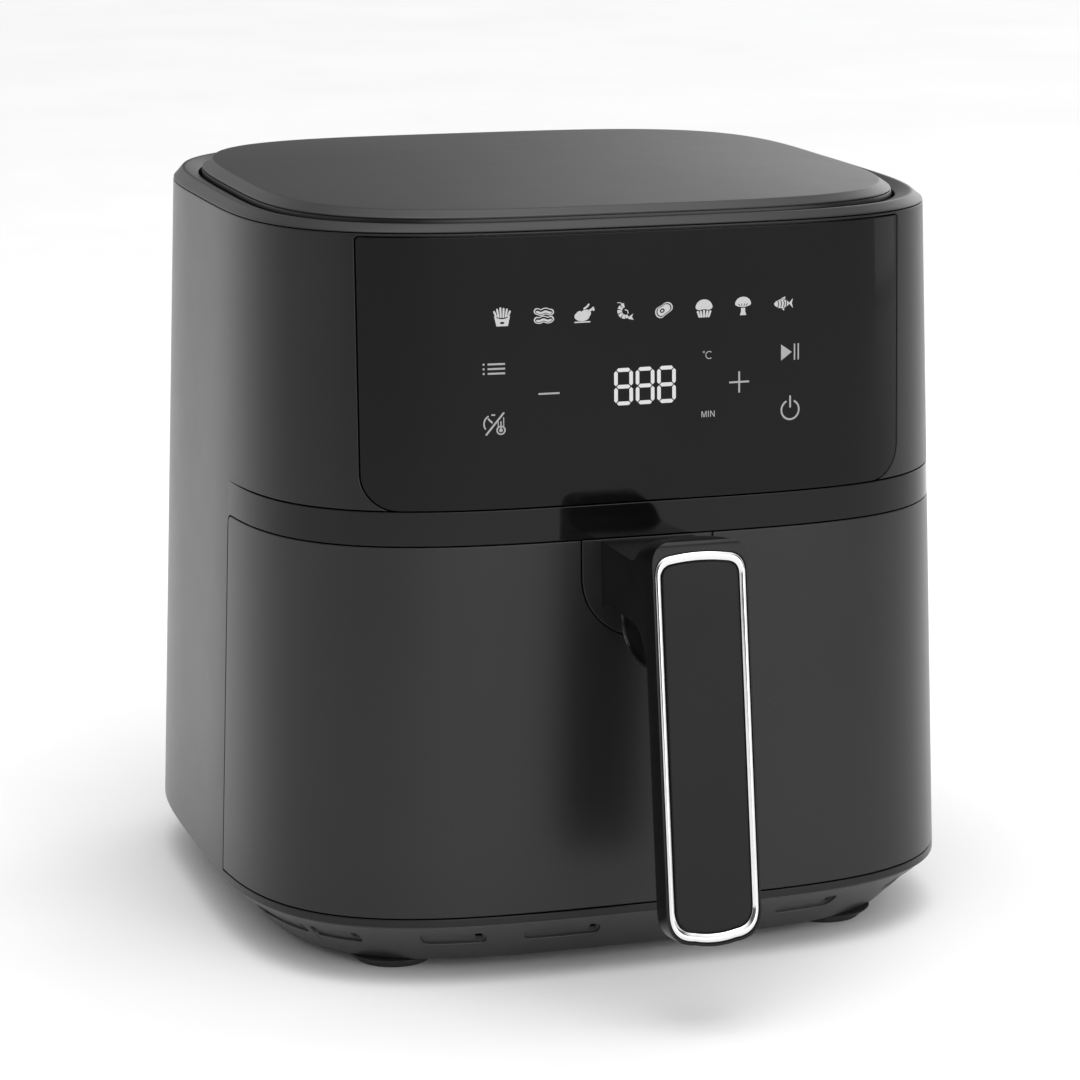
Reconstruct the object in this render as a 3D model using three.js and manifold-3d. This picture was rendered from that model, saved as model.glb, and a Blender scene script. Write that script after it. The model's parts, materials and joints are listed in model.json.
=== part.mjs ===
// A basket air fryer: a rounded-square housing with a touch panel, a pull-out drawer that
// carries the cooking pot, and a fan and heating element over the pot.
//
// Millimetres, +Z up, +X to the right, the front faces -Y. Pieces are modelled about the
// housing's own centre line, with the surface that it stands on at z = 0. The exported group
// then moves them along Y, so that the origin is under the middle of the whole object.

import * as THREE from "three";
import { mergeVertices } from "three/addons/utils/BufferGeometryUtils.js";
import Module from "manifold-3d";

const wasm = await Module();
wasm.setup();

// ---- Driving dimensions -------------------------------------------------------------------

// Plan of the housing: a superellipse whose half sizes grow towards the bottom.
const HALF_WIDTH = 145; // at DATUM_HEIGHT
const HALF_DEPTH = 138.6; // at DATUM_HEIGHT
const DATUM_HEIGHT = 177;
const TAPER = 0.0332; // growth of each half size per millimetre downwards
const BODY_EXPONENT = 3.7165;
const BODY_SEGMENTS = 48;
const PLAN_RADIUS = 150; // radius of the circle that becomes the housing's outline

// Heights above the surface that the feet stand on.
const BASE_BOTTOM = 4.4;
const SHELL_BOTTOM = 23.5;
const DRAWER_BOTTOM = 27;
const DRAWER_TOP = 172.2;
const BAND_TOP = 185.7;
const PANEL_TOP = 289;
const SHELL_TOP = 290.2;
const RIM_CREST = 294.6; // at the middle of the sides
const RIM_CLIMB = 1.2; // rise of the rim's crest from there to the back
const SHOULDER_FOOT = 295.1;
const SHOULDER_TOP = 298.4;
const SHOULDER_CLIMB = 1.45;
const COVER_TOP = 301.3;

const WALL = 3; // thickness of the outer mouldings
const SEAM = 0.5; // visible line between outer mouldings
const GAP = 0.35; // clearance between pieces that touch
const DRAWER_SIDE_SEAM = -52; // y where the drawer front ends on both sides
const PANEL_HALF_WIDTH = 109;
const REACH = 200; // further than any wall, for cutting tools

// Handle.
const HANDLE_HALF_WIDTH = 18.6;
const NECK_TOP = 171.5;
const NECK_BOTTOM = 148.4;
const GRIP_TOP = 182.6;
const GRIP_BOTTOM = 33.6;
const GRIP_FRONT_MIDDLE = -206.8; // y of the grip's front plane at GRIP_MIDDLE_HEIGHT
const GRIP_MIDDLE_HEIGHT = 113;
const GRIP_SLOPE = 0.149; // the front plane's lean: its foot stands further forward
const GRIP_DEPTH = 11.3;
const GRIP_LEAN = Math.atan(GRIP_SLOPE);
const PLATE_HALF_WIDTH = 26.4;
const PLATE_BOTTOM = 133.4;

// Cooking pot and its tray.
const POT_HALF = 112;
const POT_FLANGE_HALF = 117;
const POT_EXPONENT = 6;
const POT_SEGMENTS = 40;
const POT_BOTTOM = 36;
const POT_RIM = 164.2;
const POT_SHEET = 1.2;
const TRAY_HALF = 104;
const TRAY_HEIGHT = 50;
const TRAY_THICKNESS = 1.6;

// Heating chamber and motor.
const DECK_HEIGHT = 177;
const DECK_OPENING = 106;
const REFLECTOR_TOP = 236;
const COIL_RADIUS = 84;
const COIL_RISER_RADIUS = 92;
const SHAFT_RADIUS = 3;
const SHAFT_BORE = SHAFT_RADIUS + 0.1; // a running fit

// Drawer safety switch, beside the cavity.
const SWITCH_X = 132;
const SWITCH_Z = 158;
const SWITCH_FRONT = -44;

// Air outlet at the back.
const OUTLET_BOTTOM = 222;
const OUTLET_TOP = 274;
const OUTLET_HALF_WIDTH = 50;
const OUTLET_BACK = 147;

// ---- Materials ----------------------------------------------------------------------------

function finish(colour, roughness, metalness) {
  return new THREE.MeshStandardMaterial({ color: colour, roughness, metalness });
}

const SATIN_BLACK = finish(0x2b2b2d, 0.45, 0);
const GLOSS_BLACK = finish(0x0e0e10, 0.08, 0);
const MATTE_BLACK = finish(0x19191b, 0.6, 0);
const CHROME = finish(0xdadadc, 0.12, 1);
const RUBBER = finish(0x161616, 0.8, 0);
const SILICONE = finish(0x232325, 0.7, 0);
const NON_STICK = finish(0x1f1f21, 0.4, 0.2);
const SHEET_STEEL = finish(0xb4b4b2, 0.35, 0.9);
const DARK_STEEL = finish(0x5c5a57, 0.45, 0.8);
const COPPER = finish(0xa8592c, 0.35, 0.9);
const CIRCUIT_GREEN = finish(0x1f5a34, 0.5, 0);
const PART_BLACK = finish(0x101012, 0.5, 0);
const WHITE_PLASTIC = finish(0xd8d6cf, 0.5, 0);

// ---- Solids -------------------------------------------------------------------------------

// Six times the volume of the tetrahedron from the origin to a triangle.
function sixVolumes(points, a, b, c) {
  const [ax, ay, az] = points.subarray(3 * a, 3 * a + 3);
  const [bx, by, bz] = points.subarray(3 * b, 3 * b + 3);
  const [cx, cy, cz] = points.subarray(3 * c, 3 * c + 3);
  return ax * (by * cz - bz * cy) + ay * (bz * cx - bx * cz) + az * (bx * cy - by * cx);
}

// A closed three.js geometry as a solid, with its faces turned outwards.
function toSolid(geometry) {
  const bare = geometry.clone();
  bare.deleteAttribute("normal");
  bare.deleteAttribute("uv");
  const merged = mergeVertices(bare, 1e-4);
  const points = new Float32Array(merged.attributes.position.array);
  const corners = [];
  let volume = 0;
  for (let i = 0; i < merged.index.count; i += 3) {
    const [a, b, c] = [merged.index.getX(i), merged.index.getX(i + 1), merged.index.getX(i + 2)];
    if (a === b || b === c || c === a) continue;
    corners.push(a, b, c);
    volume += sixVolumes(points, a, b, c);
  }
  if (volume < 0) corners.reverse();
  const mesh = new wasm.Mesh({
    numProp: 3,
    vertProperties: points,
    triVerts: new Uint32Array(corners),
  });
  return new wasm.Manifold(mesh);
}

function toGeometry(solid) {
  const mesh = solid.getMesh();
  const geometry = new THREE.BufferGeometry();
  geometry.setAttribute("position", new THREE.BufferAttribute(mesh.vertProperties, 3));
  geometry.setIndex(new THREE.BufferAttribute(mesh.triVerts, 1));
  geometry.computeVertexNormals();
  return geometry;
}

function union(...solids) {
  return solids.reduce((whole, solid) => whole.add(solid));
}

function cut(solid, ...tools) {
  return tools.reduce((rest, tool) => rest.subtract(tool), solid);
}

function block(x0, x1, y0, y1, z0, z1) {
  const box = new THREE.BoxGeometry(x1 - x0, y1 - y0, z1 - z0);
  box.translate((x0 + x1) / 2, (y0 + y1) / 2, (z0 + z1) / 2);
  return toSolid(box);
}

// A round bar between two heights, at a place in plan.
function post(radius, z0, z1, x = 0, y = 0, sides = 24) {
  const bar = new THREE.CylinderGeometry(radius, radius, z1 - z0, sides);
  bar.rotateX(Math.PI / 2);
  bar.translate(x, y, (z0 + z1) / 2);
  return toSolid(bar);
}

// A round bar along Y.
function rod(radius, y0, y1, x, z, sides = 16) {
  const bar = new THREE.CylinderGeometry(radius, radius, y1 - y0, sides);
  bar.translate(x, (y0 + y1) / 2, z);
  return toSolid(bar);
}

// A profile of [radius, height] points turned about the Z axis.
function turned(profile, segments) {
  const points = profile.map(([radius, height]) => new THREE.Vector2(radius, height));
  const lathe = new THREE.LatheGeometry(points, segments);
  lathe.rotateX(Math.PI / 2);
  return lathe;
}

// The same profile, started again at its end so that it closes on itself.
function closed(profile) {
  return [...profile, profile[0]];
}

// Moves each point of a turned shape from its circle onto a superellipse.
function squareUp(geometry, circle, halfWidth, halfDepth, exponent) {
  const position = geometry.attributes.position;
  const spread = (value) => (
    Math.abs(value) < 1e-9 ? 0 : Math.sign(value) * Math.abs(value) ** (2 / exponent)
  );
  for (let i = 0; i < position.count; i += 1) {
    const [x, y, z] = [position.getX(i), position.getY(i), position.getZ(i)];
    const share = Math.hypot(x, y) / circle;
    const turn = Math.atan2(y, x);
    const [across, along] = [spread(Math.cos(turn)), spread(Math.sin(turn))];
    position.setXYZ(i, halfWidth(z) * share * across, halfDepth(z) * share * along, z);
  }
  return geometry;
}

function bodyHalfWidth(z) {
  return HALF_WIDTH + TAPER * (DATUM_HEIGHT - z);
}

function bodyHalfDepth(z) {
  return HALF_DEPTH + TAPER * (DATUM_HEIGHT - z);
}

// A profile of [inset from the outer wall, height] points carried round the housing's plan.
function bodyTurned(profile) {
  const radii = profile.map(([inset, height]) => [PLAN_RADIUS - inset, height]);
  const lathe = turned(radii, BODY_SEGMENTS);
  return toSolid(squareUp(lathe, PLAN_RADIUS, bodyHalfWidth, bodyHalfDepth, BODY_EXPONENT));
}

// Tilts the upper part of a solid, which climbs towards the back above the low height.
function climbing(solid, climb, low, high) {
  return solid.warp((point) => {
    const share = Math.min(Math.max((point[2] - low) / (high - low), 0), 1);
    point[2] += (climb * share * point[1]) / HALF_DEPTH;
  });
}

// A wall that follows the housing's plan between two insets and two heights.
function bodyWall(outer, inner, z0, z1) {
  return bodyTurned(closed([[outer, z0], [outer, z1], [inner, z1], [inner, z0]]));
}

// A full slab that follows the housing's plan.
function bodySlab(inset, z0, z1) {
  return bodyTurned([[PLAN_RADIUS, z0], [inset, z0], [inset, z1], [PLAN_RADIUS, z1]]);
}

// A profile of [half size, height] points carried round a rounded square.
function panTurned(profile) {
  const lathe = turned(profile, POT_SEGMENTS);
  const size = () => POT_HALF;
  return toSolid(squareUp(lathe, POT_HALF, size, size, POT_EXPONENT));
}

// ---- Outlines and prisms ------------------------------------------------------------------

// A rectangle with its own radius at each corner, anticlockwise from the lower left.
function roundedRectangle(x0, y0, x1, y1, lowLeft, lowRight, highRight, highLeft) {
  const shape = new THREE.Shape();
  shape.moveTo(x0 + lowLeft, y0);
  shape.lineTo(x1 - lowRight, y0);
  if (lowRight) shape.absarc(x1 - lowRight, y0 + lowRight, lowRight, -Math.PI / 2, 0);
  shape.lineTo(x1, y1 - highRight);
  if (highRight) shape.absarc(x1 - highRight, y1 - highRight, highRight, 0, Math.PI / 2);
  shape.lineTo(x0 + highLeft, y1);
  if (highLeft) shape.absarc(x0 + highLeft, y1 - highLeft, highLeft, Math.PI / 2, Math.PI);
  shape.lineTo(x0, y0 + lowLeft);
  if (lowLeft) shape.absarc(x0 + lowLeft, y0 + lowLeft, lowLeft, Math.PI, Math.PI * 1.5);
  return shape;
}

function outline(points) {
  return new THREE.Shape(points.map(([x, y]) => new THREE.Vector2(x, y)));
}

function extrude(shape, depth, curveSegments = 8) {
  return new THREE.ExtrudeGeometry(shape, { depth, bevelEnabled: false, curveSegments });
}

// An outline in (x, z), from y0 to y1.
function prismAlongY(shape, y0, y1, curveSegments) {
  const prism = extrude(shape, y1 - y0, curveSegments);
  prism.rotateX(Math.PI / 2);
  prism.translate(0, y1, 0);
  return toSolid(prism);
}

// An outline in (y, z), from x0 to x1.
function prismAlongX(shape, x0, x1, curveSegments) {
  const prism = extrude(shape, x1 - x0, curveSegments);
  const turn = new THREE.Matrix4().makeBasis(
    new THREE.Vector3(0, 1, 0),
    new THREE.Vector3(0, 0, 1),
    new THREE.Vector3(1, 0, 0),
  );
  prism.applyMatrix4(turn);
  prism.translate(x0, 0, 0);
  return toSolid(prism);
}

// An outline in (x, y), from z0 to z1.
function prismAlongZ(shape, z0, z1, curveSegments) {
  const prism = extrude(shape, z1 - z0, curveSegments);
  prism.translate(0, 0, z0);
  return toSolid(prism);
}

// A round tube through a list of points.
function tube(points, radius, steps, sides = 8) {
  const path = new THREE.CatmullRomCurve3(points.map((p) => new THREE.Vector3(...p)));
  const section = new THREE.Shape();
  for (let i = 0; i < sides; i += 1) {
    const turn = (2 * Math.PI * i) / sides;
    const [x, y] = [radius * Math.cos(turn), radius * Math.sin(turn)];
    if (i === 0) section.moveTo(x, y);
    else section.lineTo(x, y);
  }
  return toSolid(new THREE.ExtrudeGeometry(section, { steps, extrudePath: path }));
}

// ---- Housing ------------------------------------------------------------------------------

const DRAWER_CORNER = 3.5;
const PANEL_LOW_CORNER = 13.5;
const PANEL_HIGH_CORNER = 1.5;

// The front part of the housing between two heights, as seen from the side.
function frontRegion(rearY, z0, z1, corner) {
  const shape = roundedRectangle(-REACH, z0, rearY, z1, 0, 0, corner, 0);
  return prismAlongX(shape, -REACH, REACH, 4);
}

function panelRegion(margin) {
  const half = PANEL_HALF_WIDTH - margin;
  const low = PANEL_LOW_CORNER - margin;
  const high = PANEL_HIGH_CORNER - margin;
  const shape = roundedRectangle(
    -half, BAND_TOP + margin, half, PANEL_TOP - margin, low, low, high, high,
  );
  return prismAlongY(shape, -REACH, 0, 6);
}

const GLAND_X = 45;
const GLAND_Z = 46;
const GLAND_HOLE = 7;
const GLAND_BACK = 145.3;

function outerShell() {
  const half = SEAM / 2;
  const wall = bodyWall(0, WALL, SHELL_BOTTOM, SHELL_TOP);
  return cut(
    wall,
    frontRegion(DRAWER_SIDE_SEAM + half, DRAWER_BOTTOM - half, DRAWER_TOP, DRAWER_CORNER),
    frontRegion(DRAWER_SIDE_SEAM + half, DRAWER_TOP - half, BAND_TOP + half, 0),
    panelRegion(-half),
    block(-OUTLET_HALF_WIDTH + 3, OUTLET_HALF_WIDTH - 3, 100, REACH, OUTLET_BOTTOM + 3, OUTLET_TOP - 3),
    rod(GLAND_HOLE, 100, REACH, GLAND_X, GLAND_Z),
  );
}

function frontTrimBand() {
  const half = SEAM / 2;
  const wall = bodyWall(0, WALL, DRAWER_TOP + half, BAND_TOP - half);
  return wall.intersect(frontRegion(DRAWER_SIDE_SEAM - half, 0, REACH + 100, 0));
}

function controlPanel() {
  return bodyWall(0, WALL, BAND_TOP - 5, SHELL_TOP).intersect(panelRegion(SEAM / 2));
}

// The ring round the cover: a chamfer outside, a slope inside, and a lip that reaches down
// inside the shell.
function topRim() {
  const foot = SHELL_TOP + GAP;
  const inside = WALL + GAP;
  const groove = 10.7;
  const ring = bodyTurned(closed([
    [0.1, foot],
    [0.15, foot + 0.25],
    [3.6, RIM_CREST - 0.15],
    [4.4, RIM_CREST],
    [groove - 0.5, RIM_CREST - 1.9],
    [groove, RIM_CREST - 3],
    [groove, SHELL_TOP - 6],
    [inside, SHELL_TOP - 6],
    [inside, foot],
  ]));
  return climbing(ring, RIM_CLIMB, foot, RIM_CREST);
}

// The cover, a thin shell with a sloping shoulder. Its edge stands in the groove inside the rim.
function topCover() {
  const skin = 2.5;
  const edge = 11.9;
  const shoulder = 16;
  const skirt = SHELL_TOP - 5;
  const shell = bodyTurned([
    [PLAN_RADIUS, COVER_TOP],
    [90, COVER_TOP - 0.7],
    [shoulder, SHOULDER_TOP],
    [edge + 0.4, SHOULDER_FOOT],
    [edge, SHOULDER_FOOT - 0.5],
    [edge, skirt],
    [edge + skin, skirt],
    [edge + skin + 0.6, SHOULDER_FOOT - 2.3],
    [shoulder + 1.5, SHOULDER_TOP - skin],
    [PLAN_RADIUS, COVER_TOP - skin],
  ]);
  return climbing(shell, SHOULDER_CLIMB, SHOULDER_FOOT - 2.1, SHOULDER_TOP);
}

const SLOT_HEIGHT = 16;
const SLOT_TALL = 5.5;
const FRONT_SLOTS = [[-88.3, -63.5], [-48.5, -17.8], [13, 42], [57, 82]];
const SIDE_SLOTS = [[-102, -72], [72, 102]];
const CORNER_SLOT = 22; // length
const CORNER_SLOT_TURN = 0.58; // how far the front corners' slots are turned from the front
const CORNER_SLOT_PLACE = [122, 117];

// The outline of an air slot, with round ends.
function slotOutline(x0, x1) {
  const radius = SLOT_TALL / 2;
  return roundedRectangle(
    x0, SLOT_HEIGHT - radius, x1, SLOT_HEIGHT + radius, radius, radius, radius, radius,
  );
}

// A cutting tool for the slot at one corner of the base.
function cornerSlot(sideX, sideY) {
  const tool = extrude(slotOutline(-CORNER_SLOT / 2, CORNER_SLOT / 2), 40, 2);
  tool.rotateX(Math.PI / 2);
  tool.translate(0, 20, 0);
  tool.rotateZ(-sideX * sideY * (Math.PI / 2 - CORNER_SLOT_TURN));
  tool.translate(sideX * CORNER_SLOT_PLACE[0], sideY * CORNER_SLOT_PLACE[1], 0);
  return toSolid(tool);
}

// The tray that closes the housing from below, with its ring of air slots.
function basePan() {
  const skin = 2.4;
  const floor = BASE_BOTTOM + skin;
  const top = SHELL_BOTTOM - GAP;
  const tray = bodyTurned([
    [PLAN_RADIUS, BASE_BOTTOM],
    [19, BASE_BOTTOM],
    [8, SLOT_HEIGHT],
    [0.8, top],
    [3.2, top],
    [8 + skin, SLOT_HEIGHT],
    [19, floor],
    [PLAN_RADIUS, floor],
  ]);
  const slots = [];
  for (const [x0, x1] of FRONT_SLOTS) {
    slots.push(prismAlongY(slotOutline(x0, x1), -REACH, -100, 2));
  }
  for (const [y0, y1] of SIDE_SLOTS) {
    slots.push(prismAlongX(slotOutline(y0, y1), -REACH, -100, 2));
    slots.push(prismAlongX(slotOutline(y0, y1), 100, REACH, 2));
  }
  for (const [sideX, sideY] of [[-1, -1], [1, -1], [1, 1], [-1, 1]]) {
    slots.push(cornerSlot(sideX, sideY));
  }
  return cut(tray, ...slots);
}

const FOOT_X = 91;
const FOOT_Y = 98.5;
const FOOT_TOP = BASE_BOTTOM - GAP;

function foot() {
  return toSolid(turned([[0, 0], [15, 0], [16, 0.6], [19, FOOT_TOP], [0, FOOT_TOP]], 20));
}

// The bushing that the mains lead would pass through.
function cordGland() {
  const profile = [
    [3.8, 0], [9.5, 0], [9.5, 2], [6.6, 2], [6.6, 7.5], [8.2, 8], [8.2, 10], [3.8, 10],
  ];
  return toSolid(turned(closed(profile), 14));
}

// The louvred frame over the hot-air outlet.
function rearVentGrille() {
  const wallBack = bodyHalfDepth(OUTLET_BOTTOM) + GAP;
  const inner = OUTLET_HALF_WIDTH - 4;
  const shape = roundedRectangle(
    -OUTLET_HALF_WIDTH, OUTLET_BOTTOM, OUTLET_HALF_WIDTH, OUTLET_TOP, 6, 6, 6, 6,
  );
  const flange = prismAlongY(shape, wallBack, OUTLET_BACK, 4);
  const window = block(-inner, inner, 0, REACH, OUTLET_BOTTOM + 4, OUTLET_TOP - 4);
  const slats = [];
  const pitch = 6.2;
  for (let i = 0; i < 7; i += 1) {
    const z = OUTLET_BOTTOM + 6.2 + i * pitch;
    const slat = outline([
      [wallBack + 0.5, z + 1.6], [OUTLET_BACK - 1, z], [OUTLET_BACK - 1, z + 1.8], [wallBack + 0.5, z + 3.4],
    ]);
    slats.push(prismAlongX(slat, -inner - 1, inner + 1));
  }
  return union(cut(flange, window), ...slats);
}

// ---- Drawer cavity and heating chamber ----------------------------------------------------

// The plate that divides the drawer's space from the works above it.
function supportDeck() {
  return cut(bodySlab(WALL + 0.5, DECK_HEIGHT, DECK_HEIGHT + 2), post(DECK_OPENING, 0, 300, 0, 0, 48));
}

// The folded sheet round the drawer's space, open at the front and at the top.
function cavityLiner() {
  const sheet = 1;
  const half = 121;
  const front = -49;
  const floor = 31;
  const top = DECK_HEIGHT - GAP;
  const corner = 42;
  const outside = roundedRectangle(-half, front, half, half, 0, 0, corner, corner);
  const inside = roundedRectangle(
    -half + sheet, front - 10, half - sheet, half - sheet, 0, 0, corner - sheet, corner - sheet,
  );
  return cut(prismAlongZ(outside, floor, top, 6), prismAlongZ(inside, floor + sheet, top + 10, 6));
}

const PROBE = [67, 67];
const CUTOUT = [-62, 60];
const RISER_TURN = (194 * Math.PI) / 180;
const COIL_TURNS = 2;
const COIL_END_TURN = RISER_TURN + COIL_TURNS * 2 * Math.PI + 0.26;
const RISER_START = [COIL_RADIUS * Math.cos(RISER_TURN), COIL_RADIUS * Math.sin(RISER_TURN)];
const RISER_END = [
  COIL_RISER_RADIUS * Math.cos(COIL_END_TURN),
  COIL_RISER_RADIUS * Math.sin(COIL_END_TURN),
];
const RISER_TOP = REFLECTOR_TOP + 10;

// The pressed dome over the element and the fan.
function heatReflector() {
  const seat = DECK_HEIGHT + 2 + GAP;
  const dome = toSolid(turned(closed([
    [118, seat],
    [118, seat + 1],
    [106, seat + 1.2],
    [104.5, REFLECTOR_TOP - 10],
    [96, REFLECTOR_TOP],
    [10, REFLECTOR_TOP],
    [10, REFLECTOR_TOP - 1],
    [95.5, REFLECTOR_TOP - 1],
    [103.5, REFLECTOR_TOP - 10.4],
    [105, seat],
  ]), 32));
  return cut(
    dome,
    post(2.8, 230, 240, ...PROBE, 12),
    post(4.2, 230, 240, ...RISER_START, 12),
    post(4.2, 230, 240, ...RISER_END, 12),
  );
}

// The tubular element: a terminal, two turns downwards, and the second terminal outside them.
function heatingElement() {
  const high = 205;
  const low = 189;
  const samples = 20;
  const points = [[...RISER_START, RISER_TOP], [...RISER_START, 228], [...RISER_START, 214]];
  for (let i = 1; i <= samples * COIL_TURNS; i += 1) {
    const share = i / (samples * COIL_TURNS);
    const turn = RISER_TURN + share * COIL_TURNS * 2 * Math.PI;
    points.push([
      COIL_RADIUS * Math.cos(turn),
      COIL_RADIUS * Math.sin(turn),
      high + share * (low - high),
    ]);
  }
  points.push([...RISER_END, 196], [...RISER_END, 214], [...RISER_END, 230], [...RISER_END, RISER_TOP]);
  return tube(points, 3.1, 64, 6);
}

// The grid that keeps fingers off the element: wire rings on radial wires.
function elementGuard() {
  const z = 182.6;
  const wire = 1.2;
  const rings = [40, 96].map((radius) => toSolid(turned(closed([
    [radius - wire, z - wire], [radius + wire, z - wire], [radius + wire, z + wire], [radius - wire, z + wire],
  ]), 20)));
  const spokes = [];
  for (let i = 0; i < 3; i += 1) {
    const spoke = new THREE.BoxGeometry(2 * 103, 2 * wire, 1.8 * wire);
    spoke.rotateZ((i * Math.PI) / 3);
    spoke.translate(0, 0, z);
    spokes.push(toSolid(spoke));
  }
  return union(...rings, ...spokes);
}

function temperatureProbe() {
  return union(post(2.2, 205, 240, ...PROBE, 12), post(5, REFLECTOR_TOP + GAP, 241, ...PROBE, 12));
}

function thermalCutout() {
  return union(
    post(7.5, REFLECTOR_TOP + GAP, 244, ...CUTOUT, 16),
    block(CUTOUT[0] - 1.5, CUTOUT[0] + 1.5, CUTOUT[1] - 11, CUTOUT[1] + 11, 243, 244.5),
  );
}

// ---- Fans and motor -----------------------------------------------------------------------

// A disc with a hub and upright blades below or above it.
function fan(radius, hubRadius, discZ, bladeZ0, bladeZ1, blades, innerRadius) {
  const disc = toSolid(turned(closed([
    [SHAFT_BORE, discZ], [radius, discZ], [radius, discZ + 1.2], [SHAFT_BORE, discZ + 1.2],
  ]), 24));
  const hub = toSolid(turned(closed([
    [SHAFT_BORE, bladeZ0], [hubRadius, bladeZ0], [hubRadius, bladeZ1], [SHAFT_BORE, bladeZ1],
  ]), 12));
  const pieces = [];
  for (let i = 0; i < blades; i += 1) {
    const blade = new THREE.BoxGeometry(radius - innerRadius, 1.2, bladeZ1 - bladeZ0);
    blade.rotateZ(0.5);
    blade.translate((radius + innerRadius) / 2 - 3, 0, (bladeZ0 + bladeZ1) / 2);
    blade.rotateZ((i * 2 * Math.PI) / blades);
    pieces.push(toSolid(blade));
  }
  return union(disc, hub, ...pieces);
}

function convectionFan() {
  return fan(72, 9, 225, 210, 225.6, 8, 32);
}

function coolingFan() {
  return fan(58, 8, 239.6, 240, 250, 8, 30);
}

function motorShaft() {
  return post(SHAFT_RADIUS, 205, 289, 0, 0, 16);
}

function fanNut() {
  const nut = post(6.5, 206, 209.6, 0, 0, 6);
  return cut(nut, post(SHAFT_BORE, 200, 215, 0, 0, 16));
}

function motorRotor() {
  return cut(post(14.5, 261, 281, 0, 0, 24), post(SHAFT_BORE, 255, 290, 0, 0, 16));
}

const COIL_LEG_Y = 29;

function motorStator() {
  const core = block(-34, 34, -26, 35, 263, 279);
  const window = (x0, x1) => block(x0, x1, 21, 28, 250, 290);
  return cut(core, post(15.4, 250, 290, 0, 0, 28), window(-24, 24));
}

// The winding, round the leg of the core that stands clear of the bore.
function motorWinding() {
  const leg = [28, 35];
  const outside = block(-20, 20, leg[0] - 5.5, leg[1] + 6, 258, 284);
  const inside = block(-21, 21, leg[0] - GAP, leg[1] + GAP, 263 - GAP, 279 + GAP);
  return cut(outside, inside);
}

// A strap across the motor, with the shaft's bearing standing above or below its middle.
function motorBracket(z, bearingBelow, bearingAbove) {
  const strap = block(-44, 44, -12, 12, z, z + 1.6);
  const bearing = post(8, z - bearingBelow, z + 1.6 + bearingAbove, 0, 0, 16);
  return cut(union(strap, bearing), post(SHAFT_BORE, 200, 300, 0, 0, 16));
}

// The round housing of the cooling fan, with the duct that leads its air to the back.
function airDuct() {
  const floor = REFLECTOR_TOP + 1;
  const roof = 253.6;
  const round = 68;
  const half = 44;
  const back = 129;
  const sheet = 1.4;
  const outside = union(
    post(round, floor, roof, 0, 0, 28),
    block(-half, half, 20, back, floor, roof),
  );
  const inside = union(
    post(round - sheet, floor + sheet, roof - sheet, 0, 0, 28),
    block(-half + sheet, half - sheet, 20, back + 10, floor + sheet, roof - sheet),
  );
  return cut(outside, inside, post(20, 0, floor + 5, 0, 0, 24), post(34, roof - 5, 300, 0, 0, 24));
}

// ---- Electronics --------------------------------------------------------------------------

const BOARD_X = -125;

function powerBoard() {
  return block(BOARD_X, BOARD_X + 1.6, -20, 76, 190, 282);
}

function powerPart(y0, y1, z0, z1, depth) {
  const x0 = BOARD_X + 1.6 + GAP;
  return block(x0, x0 + depth, y0, y1, z0, z1);
}

function powerCapacitor() {
  const can = new THREE.CylinderGeometry(7, 7, 17, 18);
  can.rotateZ(Math.PI / 2);
  can.translate(BOARD_X + 1.6 + GAP + 8.5, 66, 262);
  return toSolid(can);
}

// The moulding behind the panel that holds the display board.
function panelCarrier() {
  const wall = bodyWall(WALL + 1.4, WALL + 3.4, BAND_TOP + 2.5, SHELL_TOP - 7.5);
  const shape = roundedRectangle(-112, 180, 112, 300, 0, 0, 0, 0);
  const region = prismAlongY(shape, -REACH, 0);
  return cut(wall.intersect(region), block(-21, 21, -REACH, 0, 218, 242));
}

function touchFilm() {
  const wall = bodyWall(WALL + 0.4, WALL + 0.8, 192, 281);
  return wall.intersect(block(-104, 104, -REACH, 0, 180, 300));
}

function displayBoard() {
  return block(-88, 88, -120.6, -119, 200, 276);
}

function ledModule() {
  return block(-18, 18, -132, -121, 220, 240);
}

function buzzer() {
  return rod(6, -118.6, -110, 60, 215);
}

function displayCable() {
  return tube([
    [-60, -116, 205], [-84, -108, 204], [-106, -80, 204], [-117, -50, 206], [-120.4, -24, 212], [-120.4, -8, 214],
  ], 2, 14, 6);
}

function heaterLead(start, end) {
  const [x, y] = start;
  return tube([
    [x, y, RISER_TOP + GAP], [x, y, RISER_TOP + 7], [x - 14, y + 4, RISER_TOP + 12], end,
  ], 1.6, 10, 6);
}

// ---- Safety switch ------------------------------------------------------------------------

const PLUNGER_RADIUS = 1.6;
const PLUNGER_REACH = 5;

function switchBody() {
  const body = block(
    SWITCH_X - 4, SWITCH_X + 4, SWITCH_FRONT, SWITCH_FRONT + 20, SWITCH_Z - 8, SWITCH_Z + 8,
  );
  return cut(body, rod(PLUNGER_RADIUS + GAP, SWITCH_FRONT - 5, SWITCH_FRONT + 9, SWITCH_X, SWITCH_Z, 12));
}

function switchPlunger() {
  return rod(PLUNGER_RADIUS, SWITCH_FRONT - PLUNGER_REACH, SWITCH_FRONT + 6, SWITCH_X, SWITCH_Z, 12);
}

// ---- Drawer -------------------------------------------------------------------------------

// The handle's mounting plate as seen from the front: a U that reaches the drawer's top edge.
function plateOutline(margin, top) {
  const half = PLATE_HALF_WIDTH - margin;
  const corner = 24 - margin;
  return roundedRectangle(-half, PLATE_BOTTOM + margin, half, top, corner, corner, 0, 0);
}

const SCREW_X = 9;
const SCREW_Z = 155;
const SCREW_HOLE = 2.5;

function screwHoles(y0, y1) {
  return union(
    rod(SCREW_HOLE, y0, y1, -SCREW_X, SCREW_Z, 12),
    rod(SCREW_HOLE, y0, y1, SCREW_X, SCREW_Z, 12),
  );
}

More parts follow.
